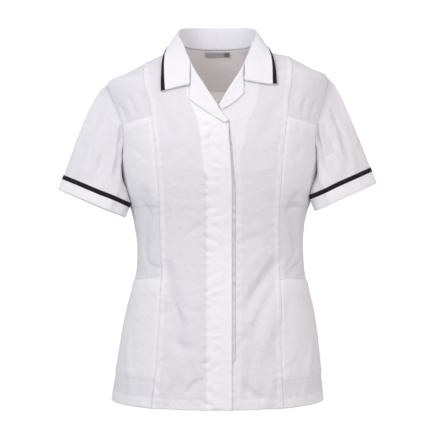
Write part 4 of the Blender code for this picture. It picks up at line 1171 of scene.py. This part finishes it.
def make_collar_tape(outer, inner, to_edge, ways):
    """Navy tape bound round the collar's outer edge."""
    on_top = COLLAR_TAPE_WIDTH * np.linspace(0, 1, 12)
    on_back = COLLAR_TAPE_WIDTH * 0.5 * np.linspace(0, 1, 5)
    top, out, under = (points_at(points, to_edge, wanted).swapaxes(1, 2)
                       for points, wanted in ((outer, on_top), (ways, on_top), (inner, on_back)))
    out = unit(out)
    away = unit(top[:, 0] - top[:, 2])
    lift = COLLAR_TAPE_LIFT + relief(COLLAR_TAPE_WIDTH - on_top, "tape_edge")
    top = top + out * lift[:, None]
    middle, half = (top[:, 0] + under[:, 0]) / 2, (top[:, 0] - under[:, 0]) / 2
    angles = np.radians(np.arange(60, -61, -30))[:, None]
    wrap = middle[:, None] + np.sin(angles) * half[:, None] + np.cos(angles) * away[:, None] * 0.0011
    below = under - out[:, :5] * 0.0004
    sheet = np.concatenate([top[:, ::-1], wrap, below], axis=1)
    core = np.concatenate([(top - out * 0.0004)[:, ::-1], wrap - (wrap - middle[:, None]) * 0.4,
                           below + out[:, :5] * 0.0003], axis=1)
    cut = cut_places(runs(sheet, 1), COLLAR_STEP)
    return wall("navy_collar_tape", sheet[:, ::-1], core[:, ::-1], cut[:, ::-1], NAVY_TAPE)


# Sleeves

def armhole_loop(side):
    """Armhole from the shoulder down the front to the underarm and up the back.

    The first result is the loop on the body, the second the same loop tucked in under it, and
    the third how far round each place lies, as an angle.
    """
    halves = []
    for back in (False, True):
        turn, height = (line[::-1] for line in side_line(side, row_places(UNDERARM_ROW, LAST_ROW), back))
        points = body(turn, height)
        length = runs(points, 0)
        angles = math.pi * length / length[-1]
        angles = 2 * math.pi - angles if back else angles
        halves.append((points, body_face(turn, height, -TUCKED_IN), angles))
    return tuple(np.concatenate([front[:-1], back[::-1][:-1]]) for front, back in zip(*halves))


def sleeve_folds(table, bow):
    return [((a, b * SLEEVE_SPAN), (c, d * SLEEVE_SPAN), bow, width, rise / 1000)
            for a, b, c, d, width, rise in table]


def from_middle(ring):
    """Directions from the middle of a ring to its points."""
    return unit(ring - ring.mean(axis=0))


def sleeve_rows(word):
    """Rings of the sleeve from the armhole to the cuff's edge, and how far each lies from that edge."""
    side = SIDES[word]
    sizes = SLEEVES[word]
    centre, arm = (sizes["outer"] + sizes["inner"]) / 2, (sizes["outer"] - sizes["inner"]) / 2
    axis = unit(np.array(sizes["axis"]))
    hole, tucked, around = armhole_loop(side)
    forward = unit(np.cross(arm, axis)) * -side
    ring = centre + np.cos(around)[:, None] * arm + np.sin(around)[:, None] * forward * CUFF_HALF_DEPTH
    band = CUFF_DEPTH[word] + CUFF_TAPE_WIDTH
    top_ring = ring - axis * band
    top, under = (np.array(SLEEVE_START[key]) * (side, 1, 1) for key in ("top", "under"))
    weight = (1 + np.cos(around))[:, None] / 2
    start = top * weight + under * (1 - weight)
    start[:, 1] -= SLEEVE_BELLY * np.sin(around)
    start = unit(start)
    reach = np.linalg.norm(top_ring - hole, axis=1)[:, None]
    degrees = np.degrees(around)
    beside_arm = soft_step(np.abs(180 - degrees), 50, 80)
    folds, creases = sleeve_folds(SLEEVE_FOLDS, 0), sleeve_folds(SLEEVE_CREASES[word], 3)
    rows = []
    for t in np.linspace(0, 1, SLEEVE_ROWS + 1):
        row = ((1 + 2 * t) * (1 - t) ** 2 * hole + t * (1 - t) ** 2 * reach * SLEEVE_START_PULL * start
               + t * t * (3 - 2 * t) * top_ring + t * t * (t - 1) * reach * SLEEVE_END_PULL * axis)
        rise = folds_rise(degrees, t * SLEEVE_SPAN, folds, False)
        rise = rise + folds_rise(degrees, t * SLEEVE_SPAN, creases, True)
        gathers = bell(t / 0.09) * soft_step(t, 0, 0.03) * np.sin(degrees / 3.1 + np.sin(degrees / 17))
        swell = soft_step(t, 0.0, 0.08) * soft_end(t, 0.08, 0.25)
        dip = SEAM_DIP * beside_arm * soft_step(t, 0.0, 0.04) * soft_end(t, 0.05, 0.17)
        row = row + from_middle(row) * (rise + 0.0014 * gathers + 0.0008 * swell - dip)[:, None]
        clearance = SLEEVE_SEATED + (SLEEVE_CLEARANCE - SLEEVE_SEATED) * soft_step(t, 0, 0.3) - dip
        rows.append(clear_of_body(row, clearance))
    end_rise = from_middle(rows[-1]) * folds_rise(degrees, SLEEVE_SPAN, folds, False)[:, None]
    distances = np.concatenate([np.linspace(0, CUFF_TAPE_WIDTH, TAPE_ROWS + 1)[1:],
                                np.linspace(CUFF_TAPE_WIDTH, band, CUFF_ROWS + 1)[1:]])
    for distance in distances:
        rows.append(clear_of_body(top_ring + axis * distance + end_rise, SLEEVE_CLEARANCE))
    rows[0] = tucked - start * TUCKED_UNDER
    return np.array(rows), band - np.concatenate([np.zeros(SLEEVE_ROWS + 1), distances])


def make_sleeve(word):
    """Sleeve, turned-up cuff band and navy tape above it, and the tape's two rows of stitches."""
    side = SIDES[word]
    rows, to_edge = sleeve_rows(word)
    around = np.roll(rows, -1, axis=1) - np.roll(rows, 1, axis=1)
    out = unit(np.cross(around, np.gradient(rows, axis=0))) * side
    first, seam, last = SLEEVE_ROWS, SLEEVE_ROWS + TAPE_ROWS, len(rows) - 1
    round_arm = runs(rows[MEASURED_ROW], 0)
    shape = rows.shape[:2]
    cut = np.stack([np.broadcast_to(round_arm, shape),
                    np.broadcast_to(runs(rows, 0).mean(axis=1)[:, None], shape)], axis=-1)

    def part(name, start, end, high, thickness, material, layers_and_shade=0.0):
        section = slice(start, end + 1)
        outer, inner = (rows[section] + out[section] * lift[section][..., None]
                        for lift in (high, high - thickness))
        outer, inner, places = (grid[:, ::side] for grid in (outer, inner, cut[section]))
        return wall(name, outer, inner, places, material, ring=True, layers_and_shade=layers_and_shade)

    sleeve = part(f"{word}_sleeve_cloth", 0, seam, np.zeros(shape), CLOTH, WHITE_TWILL)
    from_edge = to_edge[:, None]
    cuff_high = np.full(shape, CUFF_LIFT) + relief(from_edge, "cuff_edge")
    cuff_high += pucker(round_arm[None, :], from_edge - CUFF_DEPTH[word], "sleeve_hem")
    cuff = part(f"{word}_sleeve_hem_band", seam, last, cuff_high, 2 * CLOTH, WHITE_TWILL, 0.6)
    tape_high = np.full(shape, CUFF_TAPE_LIFT)
    tape_high[[first, seam]] = CUFF_TAPE_EDGE
    tape = part(f"{word}_navy_sleeve_tape", first, seam, tape_high, TAPE, NAVY_TAPE)
    lines = [hang(rows[row] + out[row] * tape_high[row][:, None]) for row in (first + 1, seam - 1)]
    return (sleeve, cuff, tape), [np.concatenate([line, line[:1]]) for line in lines]


def make_label():
    """Plain label and its small tab inside the back of the neck."""
    right, left = -LABEL_WIDTH / 2, LABEL_WIDTH / 2
    heights = np.linspace(LABEL_TOP - LABEL_DEPTH, LABEL_TOP, 9)
    made = []
    for name, first, last, material in (
            ("woven_neck_label", right, left - TAB_WIDTH, GREY_LABEL),
            ("woven_size_tab", left - TAB_WIDTH + LABEL_GAP, left, DARK_LABEL)):
        lines = [(turn_at(np.full(9, out), heights, True) % (2 * BACK), heights) for out in (last, first)]
        panel = Panel(*between(*lines, steps(24)))
        waves = 0.0004 * np.sin(panel.from_first / 0.006) * (1 - panel.from_bottom / LABEL_DEPTH)
        made.append(panel.make(name, waves - LABEL_SUNK, material, thickness=SATIN))
    return made


# Stitches

def stitch_tree():
    """Geometry nodes that lay one thread stitch after another along lines."""
    tree = bpy.data.node_groups.new("row_of_stitches", "GeometryNodeTree")
    face = tree.interface
    face.new_socket("Lines", in_out="INPUT", socket_type="NodeSocketGeometry")
    for name, value in (("Pitch", STITCH_PITCH), ("Length", STITCH_LENGTH), ("Thread", THREAD)):
        face.new_socket(name, in_out="INPUT", socket_type="NodeSocketFloat").default_value = value
    face.new_socket("Finish", in_out="INPUT", socket_type="NodeSocketMaterial")
    face.new_socket("Stitches", in_out="OUTPUT", socket_type="NodeSocketGeometry")
    given = add_node(tree, "NodeGroupInput")
    line = add_node(tree, "GeometryNodeMeshToCurve", {"Mesh": given.outputs["Lines"]})
    even = add_node(tree, "GeometryNodeResampleCurve",
                    {"Curve": line, "Length": given.outputs["Pitch"]}, mode="LENGTH")
    way = add_node(tree, "GeometryNodeInputTangent")
    turn = add_node(tree, "FunctionNodeAlignRotationToVector", {"Vector": way}, axis="Z")
    stitch = add_node(tree, "GeometryNodeMeshUVSphere", {"Segments": 6, "Rings": 5, "Radius": 0.5})
    size = add_node(tree, "ShaderNodeCombineXYZ",
                    {"X": given.outputs["Thread"], "Y": given.outputs["Thread"],
                     "Z": given.outputs["Length"]})
    shaped = add_node(tree, "GeometryNodeTransform",
                      {"Geometry": stitch, "Scale": size})
    laid = add_node(tree, "GeometryNodeInstanceOnPoints",
                    {"Points": even, "Instance": shaped,
                     "Rotation": turn})
    real = add_node(tree, "GeometryNodeRealizeInstances", {"Geometry": laid})
    smooth = add_node(tree, "GeometryNodeSetShadeSmooth", {"Geometry": real})
    finish = add_node(tree, "GeometryNodeSetMaterial",
                      {"Geometry": smooth, "Material": given.outputs["Finish"]})
    add_node(tree, "NodeGroupOutput", {"Stitches": finish})
    return tree


def sew(name, lines, material):
    """Lay stitches along lines of points and keep them as one plain mesh."""
    points, edges = [], []
    for line in lines:
        line = line[np.linalg.norm(np.diff(line, axis=0, prepend=line[:1] - 1), axis=1) > 1e-5]
        edges += [(i, i + 1) for i in range(len(points), len(points) + len(line) - 1)]
        points += line.tolist()
    mesh = bpy.data.meshes.new(name)
    mesh.from_pydata(points, edges, [])
    thread = add_object(name, mesh)
    sewing = thread.modifiers.new("stitches", "NODES")
    sewing.node_group = stitch_tree()
    for item in sewing.node_group.interface.items_tree:
        if item.name == "Finish":
            sewing[item.identifier] = material
    seen = thread.evaluated_get(bpy.context.evaluated_depsgraph_get())
    plain = bpy.data.meshes.new_from_object(seen)
    thread.modifiers.clear()
    thread.data = plain
    bpy.data.meshes.remove(mesh)
    return thread


def bartack(out):
    """Close stitches across the end of a lower pocket's mouth."""
    places = out + np.linspace(-0.5, 0.5, 4) * BARTACK_WIDTH
    heights = BARTACK_HEIGHT + 0.0006 * np.arange(4)
    return [hang(front_point(places, height, BARTACK_LIFT)) for height in heights]


def placket_line():
    """Stitches of the placket, down the right front and round into its foot."""
    curl = np.linspace(0, math.pi / 2, 24)
    out = PLACKET_STITCH + PLACKET_TURN * np.concatenate([np.zeros(200), 1 - np.cos(curl)])
    heights = np.concatenate([np.linspace(PLACKET_TOP, PLACKET_CURL, 200),
                              PLACKET_CURL - PLACKET_FOOT * np.sin(curl)])
    return hang(front_point(out, heights, 0.0001))


# Build

panels = {word: make_front(word) for word in SIDES}
fly, zip_strip = make_fly(), make_zip()
pockets = {(place, word): make_pocket(place, word, panels[word][1])
           for word in SIDES for place in POCKET_ROWS}
back, back_piece = make_back()
facing_piece = make_neck_facing(back)
lapels = {word: make_lapel(word) for word in SIDES}
collar, collar_tape, collar_stitches = make_collar()
sleeves = {word: make_sleeve(word) for word in SIDES}
label, tab = make_label()

stitches, tape_stitches = [], []
for word in SIDES:
    centre, side_panel = panels[word][:2]
    stitches += [centre.stitch_line(centre.from_last, off) for off in PRINCESS_STITCHES]
    stitches += [panel.stitch_line(panel.from_bottom, HEM_DEPTH, across=True)
                 for panel in (centre, side_panel)]
    for place in POCKET_ROWS:
        pocket = pockets[place, word][0]
        stitches.append(pocket.stitch_line(pocket.from_top, POCKET_HEM[place], 1, -1, across=True))
        stitches.append(pocket.stitch_line(pocket.from_bottom, POCKET_STITCH, 1, -1, across=True))
    stitches.append(lapels[word][1])
    tape_stitches += sleeves[word][1]
left_centre = panels["left"][0]
stitches += [back.stitch_line(back.from_bottom, HEM_DEPTH, across=True), collar_stitches, placket_line(),
             left_centre.stitch_line(left_centre.from_first, ZIP_STITCH, 30, 16 * ROW_STEPS),
             hang(front_point(np.linspace(*ZIP_BAR_ENDS, 6), ZIP_BAR_HEIGHT, 0.0004))]
for side in SIDES.values():
    stitches += bartack(side * BARTACK_OUT)
thread = sew("white_stitches", stitches, WHITE_THREAD)
tape_thread = sew("navy_stitches", tape_stitches, NAVY_THREAD)


# Each piece hangs from the root, and the CAD parts that it stands for are hidden

def as_cloth(piece, nodes):
    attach(piece, "root")
    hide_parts(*nodes)


for word in SIDES:
    centre_piece, side_piece = panels[word][2:]
    centre_node, side_node = f"front_{word}_centre", f"front_{word}_side"
    as_cloth(centre_piece, [centre_node])
    as_cloth(side_piece, [side_node])
    for place in POCKET_ROWS:
        as_cloth(pockets[place, word][1], [f"{place}_pocket_{word}"])
    as_cloth(lapels[word][0], [f"lapel_{word}"])
    sleeve, band, tape = sleeves[word][0]
    as_cloth(sleeve, [f"sleeve_{word}"])
    as_cloth(band, [f"cuff_{word}"])
    as_cloth(tape, [f"cuff_tape_{word}"])
as_cloth(back_piece, ["back"])
as_cloth(facing_piece, ["back_neck_facing"])
as_cloth(collar, ["collar_stand", "collar_fall"])
as_cloth(collar_tape, ["collar_tape"])
as_cloth(fly, ["fly_placket"])
as_cloth(zip_strip, ["zip_tape"])
as_cloth(label, ["neck_label"])
as_cloth(tab, ["label_tab"])
for sewing, slot in ((thread, "white_cloth"), (tape_thread, "navy_tape")):
    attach(sewing, "root")


# Floor, light and camera

SEEN_WHITE, ROOM_LIGHT, FLOOR_LIGHT = 1.05, 0.67, 0.50
FLOOR_RADIUS, FLOOR_HEIGHT = 3.5, -0.90
CAMERA_DISTANCE, CAMERA_HEIGHT, HALF_VIEW = 2.2, -0.3416, 0.4306
SENSOR = 36


def studio_white(owner, kind, output, strength):
    """Pure white to the eye, and dimmer as a source of light."""
    tree = empty_tree(owner)
    path = add_node(tree, "ShaderNodeLightPath")
    seen = add_node(tree, kind, {"Color": (1, 1, 1, 1), "Strength": SEEN_WHITE})
    lit = add_node(tree, kind, {"Color": (0.985, 0.985, 1.0, 1), "Strength": strength})
    mix = add_node(tree, "ShaderNodeMixShader",
                   {0: path, 1: lit, 2: seen})
    add_node(tree, output, {"Surface": mix})


def make_floor():
    mesh = bpy.data.meshes.new("studio_floor")
    turns = np.linspace(0, 2 * math.pi, 96, endpoint=False)
    rim = [(FLOOR_RADIUS * math.cos(t), FLOOR_RADIUS * math.sin(t), FLOOR_HEIGHT) for t in turns]
    mesh.from_pydata(rim, [], [tuple(range(96))])
    material = bpy.data.materials.new("white_studio_paper")
    studio_white(material, "ShaderNodeEmission", "ShaderNodeOutputMaterial", FLOOR_LIGHT)
    mesh.materials.append(material)
    add_object("studio_floor", mesh)


def make_world():
    world = bpy.data.worlds.new("studio_white")
    bpy.context.scene.world = world
    studio_white(world, "ShaderNodeBackground", "ShaderNodeOutputWorld", ROOM_LIGHT)


def add_lamp(name, place, aim, size, power, colour=(1, 1, 1)):
    lamp = bpy.data.lights.new(name, "AREA")
    lamp.energy, lamp.size, lamp.color = power, size, colour
    light = add_object(name, lamp)
    light.location = place
    light.visible_camera = False
    x, y, z = np.array(aim, float) - np.array(place, float)
    light.rotation_euler = (math.atan2(math.hypot(x, y), -z), 0, math.atan2(-x, y))


def make_camera():
    camera = bpy.data.cameras.new("front_view")
    camera.sensor_width = SENSOR
    camera.lens = SENSOR / 2 / (HALF_VIEW / CAMERA_DISTANCE)
    eye = add_object("front_view", camera)
    eye.location = (0, -CAMERA_DISTANCE, CAMERA_HEIGHT)
    eye.rotation_euler = (math.pi / 2, 0, 0)
    bpy.context.scene.camera = eye


make_floor()
make_world()
add_lamp("key_light", (-1.45, -1.6, 0.85), (0, 0, -0.3), 0.9, 19.8)
add_lamp("fill_light", (1.5, -1.8, 0.1), (0, 0, -0.35), 1.4, 12.5, (1.0, 0.86, 0.76))
add_lamp("front_light", (0.1, -2.5, -0.15), (0, 0, -0.3), 1.0, 6.3, (0.92, 0.93, 1.0))
add_lamp("back_light", (0.2, 2.0, 0.2), (0, 0, -0.2), 1.2, 16, (1.0, 1.0, 0.97))
add_lamp("hollow_light", (0, -0.05, -0.34), (0, 0.08, -0.05), 0.10, 0.20, (1.0, 0.96, 0.93))
make_camera()
bpy.context.scene.view_settings.view_transform = "Standard"
